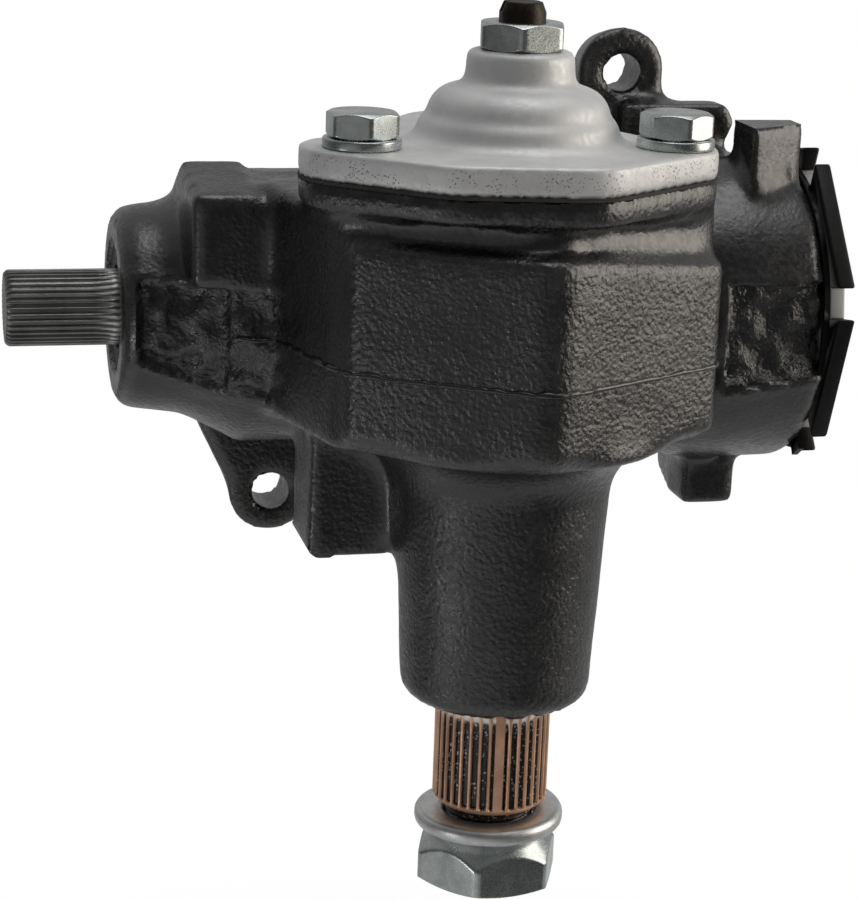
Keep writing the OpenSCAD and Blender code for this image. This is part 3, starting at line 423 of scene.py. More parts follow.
def with_modifier(mesh, kind, sockets=None, **settings):
    """Result of a modifier on a mesh, as a plain mesh. Sockets are the inputs of a modifier's geometry tree."""
    host = stand(mesh.name + "_host", mesh)
    modifier = host.modifiers.new(kind.lower(), kind)
    for key, value in settings.items():
        setattr(modifier, key, value)
    for key, value in (sockets or {}).items():
        modifier[key] = value
    done = bpy.data.meshes.new_from_object(host.evaluated_get(bpy.context.evaluated_depsgraph_get()))
    bpy.data.objects.remove(host)
    return done


def place(name, mesh, node):
    """Makes a mesh the piece that stands for a node: same body, same material slot."""
    piece = stand(name, mesh)
    mesh.materials.clear()
    mesh.materials.append(finishes[slot_of[node]])
    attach(piece, body_of[node])
    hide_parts(node)


def neighbour_mean(mesh):
    """Function that gives, for each point of a mesh, the mean of a value over its neighbours."""
    edges = np.zeros(len(mesh.edges) * 2, int)
    mesh.edges.foreach_get("vertices", edges)
    first, second = edges.reshape(-1, 2).T
    degree = np.bincount(edges, minlength=len(mesh.vertices))

    def mean(values):
        total = np.zeros_like(values)
        np.add.at(total, first, values[second])
        np.add.at(total, second, values[first])
        return total / np.maximum(degree, 1)[:, None]
    return mean


def convexity(points, normals, mean):
    """How far each point stands out from its neighbours, from 0 to 1, softened over two steps."""
    out = ((points - mean(points)) * normals).sum(axis=1)[:, None]
    for _ in range(2):
        out = (out + mean(out)) / 2
    return np.clip(out[:, 0] / (0.06 * MM), 0, 1)


def soft_noise(points, size, seed):
    """Noise between about -1 and 1 at each point, with features of the given size."""
    offset = Vector((seed * 3.7, seed * 1.3, seed * 2.9))
    return np.array([noise.noise(Vector(p) / size + offset) for p in points])


def cast_body(node, voxel, rounds, webs=()):
    """Remeshed, softened copy of a cast CAD node and its webs: its mesh, its points, the solid's place and normal
    nearest to each, the mean over neighbours, and the solid's search tree."""
    solid = joined(node + "_solid", [solid_copy(node), *webs])
    mesh = with_modifier(solid, "REMESH", mode="VOXEL", voxel_size=voxel)
    tree = BVHTree.FromPolygons([v.co for v in solid.vertices], [p.vertices for p in solid.polygons])
    points, mean = points_of(mesh), neighbour_mean(mesh)
    nearest = [tree.find_nearest(Vector(p)) for p in points]
    seats = np.array([hit[0] for hit in nearest])
    facing = np.array([hit[1] for hit in nearest])
    for _ in range(rounds):
        points += 0.5 * (mean(points) - points)
    return mesh, points, seats, facing, mean, tree


def set_points(mesh, points):
    mesh.vertices.foreach_set("co", points.ravel())
    mesh.update()


# Casting

# Edges of a casting sharper than this, in degrees, stay sharp in its shading
CAST_SHARP = 60
HOUSING_VOXEL = 1.3 * MM
HOUSING_ROUNDS = 6
FILLET_ROUNDS = 26
# Rough patches where the mould's gates were knocked off: corners (X, Z) in mm on the casting's front
ROUGH_PATCHES = (
    ((-85.5, 98.6), (-78, 98.2), (-66, 98), (-44, 97.6), (-39.7, 67.9), (-69.3, 72.8), (-85.5, 78.9)),
    ((60, 98.6), (76.7, 98.8), (92, 98.2), (92, 76.6), (75.8, 74.4), (60, 72)),
)
PATCH_DEPTH = (1.9 * MM, 1.1 * MM)
PATCH_RIM = 0.7 * MM
PATCH_STEP = 1.2 * MM
PATCH_STEP_X = -65 * MM
PATCH_FRONT = 5 * MM
# Webs beside the upper ear's hole: corners (X, Z) in mm, and the Y places of their front and back
EAR_WEBS = (((40.3, 144.1), (35, 144.1), (33.8, 110), (40.3, 110)),
            ((52.3, 144.1), (56.9, 144.1), (63.3, 120), (63.3, 110), (52.3, 110)))
EAR_WEB_REACH = (68.1 * MM, 83 * MM)
# Bored holes across the casting: middle (X, Z) and radius in mm
CROSS_HOLES = ((46.3, 144.1, 5), (-45.3, 32.5, 5), (73, 42.5, 4.25))
# How far from its axis the worm's bore and the sector's chamber reach, and where the cover's joint face ends
WORM_BORE_REACH = 34 * MM
CHAMBER_REACH = 30 * MM
JOINT_BACK = 54 * MM
JOINT_RIGHT = 55 * MM
# The casting's ends are smoother past this far from its middle along X
SMOOTH_MIDDLE = -7 * MM
SMOOTH_FROM = 57 * MM


def patch_distance(points):
    """How far each point, seen from the front, lies inside the nearest rough patch; negative outside."""
    spots = points[:, (0, 2)]
    nearest = np.full(len(points), -1.0)
    for corners in ROUGH_PATCHES:
        corners = np.array(corners) * MM
        gap, inside = np.full(len(points), 1.0), np.zeros(len(points), bool)
        for a, b in zip(corners, np.roll(corners, -1, axis=0)):
            along = np.clip(((spots - a) @ (b - a)) / ((b - a) @ (b - a)), 0, 1)
            gap = np.minimum(gap, np.linalg.norm(spots - a - along[:, None] * (b - a), axis=1))
            crosses = (a[1] > spots[:, 1]) != (b[1] > spots[:, 1])
            reach = a[0] + (spots[:, 1] - a[1]) * (b[0] - a[0]) / (b[1] - a[1] if b[1] != a[1] else 1)
            inside ^= crosses & (spots[:, 0] < reach)
        nearest = np.maximum(nearest, np.where(inside, gap, -gap))
    return nearest


def faces_axis(off, facing, reach=math.inf):
    """True where a surface faces an axis and lies within a reach of it; off leads from the axis to the surface."""
    away = np.linalg.norm(off, axis=1)
    return ((off * facing).sum(axis=1) < -0.5 * away) & (away < reach)


def machined_mask(seats, facing):
    """True where the casting was cut after it was cast: its bores, its joint faces and its end faces."""
    near = 0.2 * MM
    cut = faces_axis((seats - np.array(worm_axis)) * (0, 1, 1), facing, WORM_BORE_REACH)
    cut |= faces_axis(seats * (1, 1, 0), facing, CHAMBER_REACH)
    for x, z, radius in CROSS_HOLES:
        off = seats[:, (0, 2)] - np.array((x, z)) * MM
        cut |= (np.linalg.norm(off, axis=1) < (radius + 0.3) * MM) & ((off * facing[:, (0, 2)]).sum(axis=1) < 0)
    joint = seats[:, 1] < JOINT_BACK
    cut |= joint & (facing[:, 2] > 0.9) & (seats[:, 2] > cover_face - near)
    cut |= joint & (abs(facing[:, 2]) < 0.3) & (seats[:, 0] < JOINT_RIGHT) \
        & (seats[:, 2] > cover_face - 1.5 * MM) & (seats[:, 2] < cover_face + near)
    for axis, sign, level in ((0, 1, end_face), (0, -1, input_face), (2, -1, tube_end)):
        cut |= (sign * facing[:, axis] > 0.9) & (sign * seats[:, axis] > sign * level - near)
    return cut


def open_points(points, normals, tree):
    """True for points on the outside: most rays away from the surface miss the casting."""
    side = np.cross(normals, np.where(abs(normals[:, 2:]) < 0.9, (0, 0, 1), (1, 0, 0)))
    side /= np.linalg.norm(side, axis=1)[:, None]
    other = np.cross(normals, side)
    free = np.zeros(len(points), int)
    starts = points + normals * 1.5 * MM
    for tilt in (0 * side, side, -side, other, -other):
        free += [tree.ray_cast(Vector(p), Vector(d))[0] is None for p, d in zip(starts, normals + tilt)]
    return free >= 3


def fill_corners(mesh, points, mean, fixed, tree):
    """Fillets the outside's hollow corners: points there creep outward until the hollow is round. Returns the points
    and how far each was filled, from 0 to 1."""
    set_points(mesh, points)
    normals = point_normals(mesh)
    hollow = ((mean(points) - points) * normals).sum(axis=1) > 0.02 * MM
    for _ in range(5):
        hollow = (mean(hollow[:, None].astype(float))[:, 0] > 0) | hollow
    hollow &= ~fixed
    hollow[hollow] = open_points(points[hollow], normals[hollow], tree)
    start = points.copy()
    for _ in range(FILLET_ROUNDS):
        step = ((mean(points) - points) * normals).sum(axis=1)
        points += (np.where(hollow, np.maximum(step, 0), 0) * 0.9)[:, None] * normals
    return points, np.clip(np.linalg.norm(points - start, axis=1) / (0.5 * MM), 0, 1)


def make_housing():
    webs = [skin("ear_web", np.array([[(x * MM, y, z * MM) for x, z in corners] for y in EAR_WEB_REACH]))
            for corners in EAR_WEBS]
    mesh, points, seats, facing, mean, tree = cast_body("housing", HOUSING_VOXEL, HOUSING_ROUNDS, webs)
    fixed = machined_mask(seats, facing)
    points[fixed] = seats[fixed]
    points, filled = fill_corners(mesh, points, mean, fixed, tree)
    set_points(mesh, points)
    normals = point_normals(mesh)
    cast = (~fixed).astype(float)
    front = cast * np.clip(-normals[:, 1] * 3 - 0.6, 0, 1) * np.clip((points[:, 1] - PATCH_FRONT) / (2 * MM), 0, 1)
    inside = patch_distance(points)
    patch = front * np.clip(inside / (1.2 * MM) + 0.5, 0, 1)
    rim = front * np.exp(-(np.minimum(inside, 0) / (2.6 * MM)) ** 2) * (inside < 0)
    left = points[:, 0] < 0
    depth = np.where(left, PATCH_DEPTH[0], PATCH_DEPTH[1])
    depth = depth - PATCH_STEP * left * np.clip((points[:, 0] - PATCH_STEP_X) / MM + 0.5, 0, 1)
    wave = 0.16 * MM * soft_noise(points, 13 * MM, 1) + 0.07 * MM * soft_noise(points, 4 * MM, 2)
    torn = 1.1 * MM * (0.5 - 2 * abs(soft_noise(points, 8 * MM, 3))) + 0.9 * MM * soft_noise(points, 3.4 * MM, 4)
    points += normals * (cast * wave + patch * (torn - depth) + rim * PATCH_RIM)[:, None]
    set_points(mesh, points)
    smooth_ends = np.clip((abs(points[:, 0] - SMOOTH_MIDDLE) - SMOOTH_FROM) / (4 * MM), 0, 1) * (1 - patch)
    grain = (1 - 0.6 * smooth_ends) * (1 - 0.7 * filled * (1 - patch))
    for _ in range(3):
        grain = (grain + mean(grain[:, None])[:, 0]) / 2
    point_values(mesh, "grain", grain * (0.15 + 0.85 * cast))
    point_values(mesh, "rough_patch", patch)
    point_values(mesh, "edge", convexity(points, normals, mean) * cast)
    place("housing_casting", shade(mesh, CAST_SHARP), "housing")


# Cover

COVER_VOXEL = 0.75 * MM
COVER_ROUNDS = 8


def make_side_cover():
    mesh, points, seats, facing, mean, _ = cast_body("side_cover", COVER_VOXEL, COVER_ROUNDS)
    under = (facing[:, 2] < -0.9) & (seats[:, 2] < cover_face + 1.2 * MM)
    cut = under | faces_axis(seats * (1, 1, 0), facing)
    flat = (facing[:, 2] > 0.95) & (abs(seats[:, 2] - flange_top) < 0.2 * MM)
    points[cut] = seats[cut]
    points[flat, 2] = np.minimum(points[flat, 2], flange_top)
    set_points(mesh, points)
    normals = point_normals(mesh)
    points += normals * (~cut * 0.06 * MM * soft_noise(points, 9 * MM, 5))[:, None]
    set_points(mesh, points)
    rim = np.clip(1.2 - abs(normals[:, 2]) * 2, 0, 1) * (seats[:, 2] < flange_top - 1 * MM)
    point_values(mesh, "rim", rim)
    point_values(mesh, "edge", convexity(points, normals, mean) * ~cut)
    place("side_cover_casting", shade(mesh, CAST_SHARP), "side_cover")


# Nuts, bolts and washers

HEX_COLUMNS = 144
HEX_ROWS = 44
HEX_CORNER = 0.25 * MM
HEX_BLUR = 0.18 * MM


def soft_min(a, b, blur):
    """Smaller of two values, rounded off where they meet."""
    h = np.clip(0.5 + 0.5 * (b - a) / blur, 0, 1)
    return b + (a - b) * h - blur * h * (1 - h)


def hex_radius(angles, flats, corner):
    """Radius of a hexagon with a corner at angle 0, its corners rounded off by the given amount."""
    folded = angles % (math.pi / 3) - math.pi / 6
    return soft_min(flats / 2 / np.cos(folded), flats / math.sqrt(3) - corner, corner)


def ring_of(angles, radius, height):
    """One row of points around the Z axis."""
    radius = np.broadcast_to(radius, angles.shape)
    return np.stack([radius * np.cos(angles), radius * np.sin(angles), np.broadcast_to(height, angles.shape)], axis=-1)


def hex_rows(flats, height, turn, high_rim, high_slope, low_rim, low_slope):
    """Rows up the side of a hexagon whose ends are chamfered by cones from a rim radius, at slopes in degrees."""
    angles = np.linspace(0, TURN, HEX_COLUMNS, endpoint=False)
    hexagon = hex_radius(angles - math.radians(turn), flats, HEX_CORNER)
    levels = height * (0.5 - 0.5 * np.cos(np.linspace(0, math.pi, HEX_ROWS)))
    rows = []
    for z in levels:
        high = high_rim + (height - z) / math.tan(math.radians(high_slope))
        low = low_rim + z / math.tan(math.radians(low_slope))
        rows.append(ring_of(angles, soft_min(soft_min(hexagon, high, HEX_BLUR), low, HEX_BLUR), z))
    return angles, rows


def nut_mesh(name, flats, height, bore, turn, high, low):
    """Hexagon nut on the Z axis, from height 0 up, with its bore chamfered at both ends."""
    angles, rows = hex_rows(flats, height, turn, *high, *low)
    lead = 0.8 * MM
    rows += [ring_of(angles, bore + lead, height), ring_of(angles, bore, height - lead),
             ring_of(angles, bore, lead), ring_of(angles, bore + lead, 0)]
    return skin(name, np.array(rows), ring=True)


def bolt_mesh(name, flats, head, shank, length):
    """Hexagon bolt on the Z axis: the head stands on height 0 and the shank hangs below it."""
    rim = flats / 2 - 0.25 * MM
    angles, rows = hex_rows(flats, head, 0, rim, 30, rim, 30)
    tip = 1 * MM
    below = [ring_of(angles, shank - tip, -length), ring_of(angles, shank, -length + tip), ring_of(angles, shank, 0)]
    return skin(name, np.array(below + rows))


def split_washer_mesh(name, outer, inner, thick, split, gap=8, rise=0.0, corner=0.5 * MM):
    """Spring washer on the Z axis with a rounded section, which climbs by its rise from one end of the split around
    to the other."""
    around, corner = 120, min(corner, thick * 0.4)
    section = []
    for x, z, start in ((outer, thick, 0), (inner, thick, 90), (inner, 0, 180), (outer, 0, 270)):
        for step in np.linspace(start, start + 90, 5):
            cx = x - corner if x == outer else x + corner
            cz = z - corner if z == thick else z + corner
            section.append((cx + corner * math.cos(math.radians(step)), cz + corner * math.sin(math.radians(step))))
    rows = []
    for share in np.linspace(0, 1, around):
        angle = math.radians(split + gap / 2 + share * (360 - gap))
        rows.append([(r * math.cos(angle), r * math.sin(angle), z + rise * share) for r, z in section])
    return skin(name, np.array(rows))


def moved(mesh, x=0.0, y=0.0, z=0.0):
    mesh.transform(Matrix.Translation((x, y, z)))
    return mesh


# Geometry trees: repeated pieces and surfaces that follow a rule

def geometry_tree(name, **inputs):
    """Starts a geometry tree and returns it, what it is given and its end node. The names of its inputs are listed
    for each kind of socket."""
    tree = bpy.data.node_groups.new(name, "GeometryNodeTree")
    tree.interface.new_socket("Geometry", in_out="INPUT", socket_type="NodeSocketGeometry")
    tree.interface.new_socket("Geometry", in_out="OUTPUT", socket_type="NodeSocketGeometry")
    for kind, labels in inputs.items():
        for label in labels.split():
            tree.interface.new_socket(label.replace("_", " "), in_out="INPUT", socket_type="NodeSocket" + kind)
    return tree, add(tree, "NodeGroupInput").outputs, add(tree, "NodeGroupOutput")


def grow(tree, mesh=None, **values):
    """Runs a geometry tree once, on a mesh or on nothing, and returns its result as a plain mesh."""
    sockets = {socket.name.replace(" ", "_"): socket.identifier
               for socket in tree.interface.items_tree if socket.in_out == "INPUT"}
    return with_modifier(mesh or bpy.data.meshes.new(tree.name), "NODES",
                         {sockets[label]: value for label, value in values.items()}, node_group=tree)


def finish_tree(tree, result, geometry):
    """Ends a geometry tree with real meshes."""
    real = add(tree, "GeometryNodeRealizeInstances", {"Geometry": geometry})
    link(real.outputs[0], result.inputs[0])
    return tree


def make_bolt_tree():
    """Sets one bolt on each given point, turned by the point's own turn."""
    tree, given, result = geometry_tree("cover_bolt_set", Object="Bolt")
    bolt = add(tree, "GeometryNodeObjectInfo", {"Object": given["Bolt"], "As Instance": True})
    turn = add(tree, "GeometryNodeInputNamedAttribute", {"Name": "turn"}, data_type="FLOAT").outputs[0]
    spin = add(tree, "CombineXYZ", {"Z": turn}).outputs[0]
    copies = add(tree, "GeometryNodeInstanceOnPoints", {"Points": given["Geometry"],
                                                        "Instance": bolt.outputs["Geometry"], "Rotation": spin})
    return finish_tree(tree, result, copies.outputs[0])


def start_rod(tree, given, around):
    """Plain rod on the Z axis for a tree to shape: its mesh, and its points' places, heights above its lower end
    and angles."""
    rod = add(tree, "GeometryNodeMeshCylinder", {"Vertices": around, "Side Segments": given["Rows"],
                                                 "Radius": given["Radius"], "Depth": given["Length"]},
              fill_type="TRIANGLE_FAN").outputs["Mesh"]
    spot = add(tree, "SeparateXYZ", {0: add(tree, "GeometryNodeInputPosition").outputs[0]}).outputs
    height = calc("MULTIPLY_ADD", given["Length"], 0.5, spot["Z"])
    return rod, spot, height, calc("ARCTAN2", spot["Y"], spot["X"])


def finish_rod(tree, given, result, rod, spot, height, cut):
    """Ends a rod's tree: its points move in toward the axis by their cut, and up to their heights."""
    scale = minus(1, over(cut, given["Radius"]))
    goal = add(tree, "CombineXYZ", {"X": times(spot["X"], scale), "Y": times(spot["Y"], scale), "Z": height})
    shaped = add(tree, "GeometryNodeSetPosition", {"Geometry": rod, "Position": goal.outputs[0]})
    return finish_tree(tree, result, shaped.outputs[0])


def store(tree, geometry, name, value):
    """Keeps a value at each point of a geometry under a name."""
    return add(tree, "GeometryNodeStoreNamedAttribute", {"Geometry": geometry, "Name": name, "Value": value},
               data_type="FLOAT", domain="POINT").outputs[0]


def make_serration_tree():
    """Serrated shaft end on the Z axis, from its free end at height 0 up: grooves around it that run out at the
    upper end, a plain ring and a chamfer at the free end, and one wide tooth if a land is asked for."""
    tree, given, result = geometry_tree(
        "serrated_end", Int="Teeth Rows Steps",
        Float="Radius Depth Length Ring Run_out_start Run_out Chamfer Crest_share Land_angle Land")
    rod, spot, height, angle = start_rod(tree, given, times(given["Teeth"], given["Steps"]))
    from_land = minus(angle, given["Land angle"])
    tooth = times(from_land, over(given["Teeth"], TURN))
    flank = blend_range(calc("PINGPONG", tooth, 0.5), times(given["Crest share"], 0.5),
                        calc("MULTIPLY_ADD", given["Crest share"], 0.3, 0.24))
    off_land = calc("ABSOLUTE", calc("WRAP", from_land, math.pi, -math.pi))
    land_half = times(given["Land"], over(math.pi, given["Teeth"]))
    sunk = times(flank, calc("GREATER_THAN", off_land, land_half))
    from_ring = blend_range(height, given["Ring"], plus(given["Ring"], 0.6 * MM))
    into_run = over(minus(height, given["Run out start"]), given["Run out"], clamp=True)
    run_out = minus(1, times(into_run, into_run))
    groove = times(sunk, times(from_ring, run_out))
    short = minus(given["Chamfer"], height)
    cut = calc("MULTIPLY_ADD", groove, given["Depth"], larger(short, 0))
    rod = store(tree, rod, "groove", groove)
    rod = store(tree, rod, "bare", times(sunk, into_run))
    return finish_rod(tree, given, result, rod, spot, height, cut)


def make_thread_tree():
    """Threaded rod on the Z axis, from height 0 up, with the thread fading out at both ends."""
    tree, given, result = geometry_tree("threaded_end", Int="Rows", Float="Radius Depth Pitch Length")
    rod, spot, height, angle = start_rod(tree, given, 64)
    phase = minus(over(height, given["Pitch"]), over(angle, TURN))
    valley = times(calc("PINGPONG", phase, 0.5), 2)
    from_end = calc("MINIMUM", height, minus(given["Length"], height))
    lead_in = larger(minus(given["Depth"], from_end), 0)
    cut = larger(times(valley, given["Depth"]), lead_in)
    return finish_rod(tree, given, result, rod, spot, height, cut)


def make_flash_tree():
    """Thin ragged bead along a closed line of edges, as metal that crept into the joint of a mould."""
    tree, given, result = geometry_tree("parting_flash", Float="Thickness Step Raggedness")
    line = add(tree, "GeometryNodeMeshToCurve", {"Mesh": given["Geometry"]}).outputs[0]
    even = add(tree, "GeometryNodeResampleCurve", {"Curve": line, "Length": given["Step"]}, mode="LENGTH").outputs[0]
    wobble = add(tree, "TexNoise", {"Scale": 260, "Detail": 3, "Roughness": 0.7}).outputs["Fac"]
    wobble = minus(wobble, 0.5)
    swell = calc("MULTIPLY_ADD", wobble, given["Raggedness"], 1)
    rise = times(wobble, times(given["Thickness"], 2))
    lift = add(tree, "CombineXYZ", {"Z": rise}).outputs[0]
    lifted = add(tree, "GeometryNodeSetPosition", {"Geometry": even, "Offset": lift}).outputs[0]
    profile = add(tree, "GeometryNodeCurvePrimitiveCircle", {"Resolution": 6, "Radius": given["Thickness"]}).outputs[0]
    sized = add(tree, "GeometryNodeSetCurveRadius", {"Curve": lifted, "Radius": swell}).outputs[0]
    bead = add(tree, "GeometryNodeCurveToMesh", {"Curve": sized, "Profile Curve": profile,
                                                 "Scale": swell, "Fill Caps": True}).outputs[0]
    return finish_tree(tree, result, bead)


bolt_tree = make_bolt_tree()
serration_tree = make_serration_tree()
thread_tree = make_thread_tree()
flash_tree = make_flash_tree()

# Cover bolts, nuts and washers: turns and splits, in degrees, are given from the left bolt to the right one

BOLT_FLATS = 15.4 * MM
BOLT_SHANK = 4.8 * MM
BOLT_TURNS = (32, 10, 34.5)
BOLT_WASHER = dict(outer=9.1 * MM, inner=5.2 * MM)
BOLT_WASHER_SPLITS = (100, 50, 75)
NUTS = {
    "lash_locknut": dict(flats=19 * MM, bore=5.55 * MM, turn=17, high=(9.3 * MM, 30), low=(9.3 * MM, 30)),
    "pitman_nut": dict(flats=32.5 * MM, bore=11.15 * MM, turn=8.5, high=(13.95 * MM, 50), low=(16.25 * MM, 20)),
}
PITMAN_WASHER = dict(outer=18.6 * MM, inner=11.3 * MM, split=75, gap=5, rise=2 * MM, corner=1.9 * MM)


def linked_to(start):
    """All points that edges join to a point of an editable mesh."""
    group, todo = set(), [start]
    while todo:
        vert = todo.pop()
        if vert not in group:
            group.add(vert)
            todo += [edge.other_vert(vert) for edge in vert.link_edges]
    return group


def solid_centres(node):
    """Middle of each separate solid of a CAD node, from left to right."""
    work = bmesh.new()
    work.from_mesh(solid_copy(node))
    left, centres = set(work.verts), []
    while left:
        group = linked_to(next(iter(left)))
        left -= group
        spots = np.array([vert.co for vert in group])
        centres.append((spots.min(axis=0) + spots.max(axis=0)) / 2)
    work.free()
    return sorted(centres, key=lambda spot: spot[0])


def make_cover_bolts():
    low, high = node_box["cover_bolts"]
    washer_low, washer_high = node_box["cover_lock_washers"]
    seat, thick = washer_high[2], washer_high[2] - washer_low[2]
    centres = solid_centres("cover_bolts")
    points = mesh_of("bolt_places", [(spot[0], spot[1], seat) for spot in centres], [])
    point_values(points, "turn", np.radians(BOLT_TURNS))
    bolt = bolt_mesh("cover_bolt", BOLT_FLATS, high[2] - seat, BOLT_SHANK, seat - low[2])
    source = bpy.data.objects.new("cover_bolt_source", bolt)
    bolts = grow(bolt_tree, points, Bolt=source)
    bpy.data.objects.remove(source)
    place("cover_bolt_set", shade(bolts), "cover_bolts")
    washers = [moved(split_washer_mesh("lock_washer", thick=thick, split=split, **BOLT_WASHER),
                     spot[0], spot[1], washer_low[2]) for split, spot in zip(BOLT_WASHER_SPLITS, centres)]
    place("cover_lock_washer_set", shade(joined("cover_lock_washers", washers)), "cover_lock_washers")


def make_nut(node):
    low, high = node_box[node]
    nut = nut_mesh(node, height=high[2] - low[2], **NUTS[node])
    place(node + "_hexagon", shade(moved(nut, z=low[2])), node)


def make_pitman_washer():
    seat, top = node_box["pitman_nut"][1][2], node_box["pitman_lock_washer"][1][2]
    washer = split_washer_mesh("pitman_washer", thick=top - seat - PITMAN_WASHER["rise"], **PITMAN_WASHER)
    place("pitman_lock_washer_ring", shade(moved(washer, z=seat)), "pitman_lock_washer")


def cut_at(work, point, normal, **options):
    """Cuts an editable mesh at a plane, drops what lies past it, and returns what lies in the cut."""
    return bmesh.ops.bisect_plane(work, geom=work.verts[:] + work.edges[:] + work.faces[:], dist=1e-7,
                                  plane_co=point, plane_no=normal, clear_outer=True, **options)["geom_cut"]


def cut_copy(node, point, normal):
    """Copy of a CAD node without what lies past a plane, closed where it was cut."""
    def cut(work):
        edges = [piece for piece in cut_at(work, point, normal) if isinstance(piece, bmesh.types.BMEdge)]
        bmesh.ops.contextual_create(work, geom=edges)
        bmesh.ops.recalc_face_normals(work, faces=work.faces)
    return reworked(node + "_rest", solid_copy(node), cut)


# Shaft ends: the serrated lengths, the pitman end's thread, and where the solid shafts take over

PITMAN_SHOULDER = 1.5 * MM
PITMAN_SPLINE_LOW = -28.5 * MM
PITMAN_SERRATION = dict(
    Teeth=36, Radius=14.3 * MM, Depth=1.1 * MM, Ring=1.5 * MM, Run_out_start=20.5 * MM, Run_out=5 * MM,
    Chamfer=1.2 * MM, Crest_share=0.2, Land_angle=math.radians(-96), Land=1.0, Rows=60, Steps=12)
PITMAN_THREAD = dict(Radius=11.1 * MM, Depth=0.9 * MM, Pitch=1.81 * MM, Rows=120)
INPUT_INSET = 2 * MM
INPUT_SERRATION = dict(
    Teeth=36, Radius=9.525 * MM, Depth=0.75 * MM, Ring=-1 * MM, Run_out_start=21.5 * MM, Run_out=5.2 * MM,
    Chamfer=0.8 * MM, Crest_share=0.3, Land_angle=0.0, Land=0.0, Rows=48, Steps=10)


def make_sector_shaft():
    end = node_box["sector_shaft"][0][2]
    spline = grow(serration_tree, Length=PITMAN_SHOULDER - PITMAN_SPLINE_LOW, **PITMAN_SERRATION)
    thread = grow(thread_tree, Length=PITMAN_SPLINE_LOW - end, **PITMAN_THREAD)
    point_values(thread, "groove", np.ones(len(thread.vertices)))
    rest = cut_copy("sector_shaft", (0, 0, PITMAN_SHOULDER), (0, 0, -1))
    mesh = joined("sector_shaft", [rest, moved(spline, z=PITMAN_SPLINE_LOW), moved(thread, z=end)])
    place("sector_shaft_serrated", shade(mesh), "sector_shaft")


def make_worm_shaft():
    end, inner = node_box["worm_shaft"][0][0], input_face + INPUT_INSET
    spline = grow(serration_tree, Length=inner - end, **INPUT_SERRATION)
    spline.transform(Matrix.Translation((end, worm_axis.y, worm_axis.z)) @ Matrix.Rotation(math.pi / 2, 4, "Y"))
    rest = cut_copy("worm_shaft", (inner, 0, 0), (-1, 0, 0))
    place("worm_shaft_serrated", shade(joined("worm_shaft", [rest, spline])), "worm_shaft")


# Flash of the mould's joint: how far below the worm's axis it lies, and where it ends along X

FLASH_DROP = 1.4 * MM
FLASH_ENDS = (-64 * MM, 55 * MM)


def make_parting_flash():
    """Flash where the two halves of the mould met, along the casting's outside just below the worm's axis."""
    def keep_outline(work):
        cut_at(work, (0, 0, worm_axis.z - FLASH_DROP), (0, 0, 1), clear_inner=True)
        bmesh.ops.remove_doubles(work, verts=work.verts, dist=0.01 * MM)
        outline = linked_to(min(work.verts, key=lambda vert: vert.co.y))
        spare = [vert for vert in work.verts
                 if vert not in outline or not FLASH_ENDS[0] < vert.co.x < FLASH_ENDS[1]]
        bmesh.ops.delete(work, geom=spare, context="VERTS")
    line = reworked("parting_line", solid_copy("housing"), keep_outline)
    flash = grow(flash_tree, line, Thickness=0.6 * MM, Step=0.8 * MM, Raggedness=2.4)
    flash.materials.clear()
    flash.materials.append(finishes["painted_casting"])
    piece = stand("parting_flash", shade(flash, CAST_SHARP))
    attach(piece, "housing")


# Turned and milled pieces that keep their solids' shape, and how wide their edges are broken

SOFT_EDGES = {"adjuster_lock_ring": 1.1 * MM, "bearing_adjuster": 0.4 * MM, "lock_tab_washer": 0.3 * MM,
              "lash_adjuster_screw": 0.35 * MM}
NOTCH_RISE = 3 * MM


def bare_notches(points):
    """Share of bare metal at each point of the lock ring: the floors of its notches have lost their paint."""
    radius = np.hypot(points[:, 1] - worm_axis.y, points[:, 2] - worm_axis.z)
    floor = node_box["bearing_adjuster"][1][2] - worm_axis.z + NOTCH_RISE
    return 0.5 * np.clip((0.6 * MM - abs(radius - floor)) / (0.3 * MM), 0, 1)


def make_softened(node, width):
    clean = reworked(node + "_clean", solid_copy(node), lambda work: bmesh.ops.dissolve_limit(
        work, angle_limit=math.radians(1), verts=work.verts, edges=work.edges))
    soft = with_modifier(clean, "BEVEL", width=width, segments=3, limit_method="ANGLE",
                         angle_limit=math.radians(35), use_clamp_overlap=True)
    if node == "adjuster_lock_ring":
        point_values(soft, "bare", bare_notches(points_of(soft)))
    if node == "lash_adjuster_screw":
        point_values(soft, "oiled", np.ones(len(soft.vertices)))
    place(node + "_softened", shade(soft), node)


make_housing()
make_side_cover()
make_cover_bolts()
make_nut("lash_locknut")
make_sector_shaft()
make_worm_shaft()
make_nut("pitman_nut")
make_pitman_washer()
make_parting_flash()
for node, width in SOFT_EDGES.items():
    make_softened(node, width)
for node, solid in frame["nodes"].items():
    if not solid.hide_render:
        solid.data.materials.clear()
        solid.data.materials.append(finishes[slot_of[node]])


# Studio

FLOOR_SIZE = 12
FLOOR_DROP = 0.16
FLOOR_FADE = (0.22, 0.42)


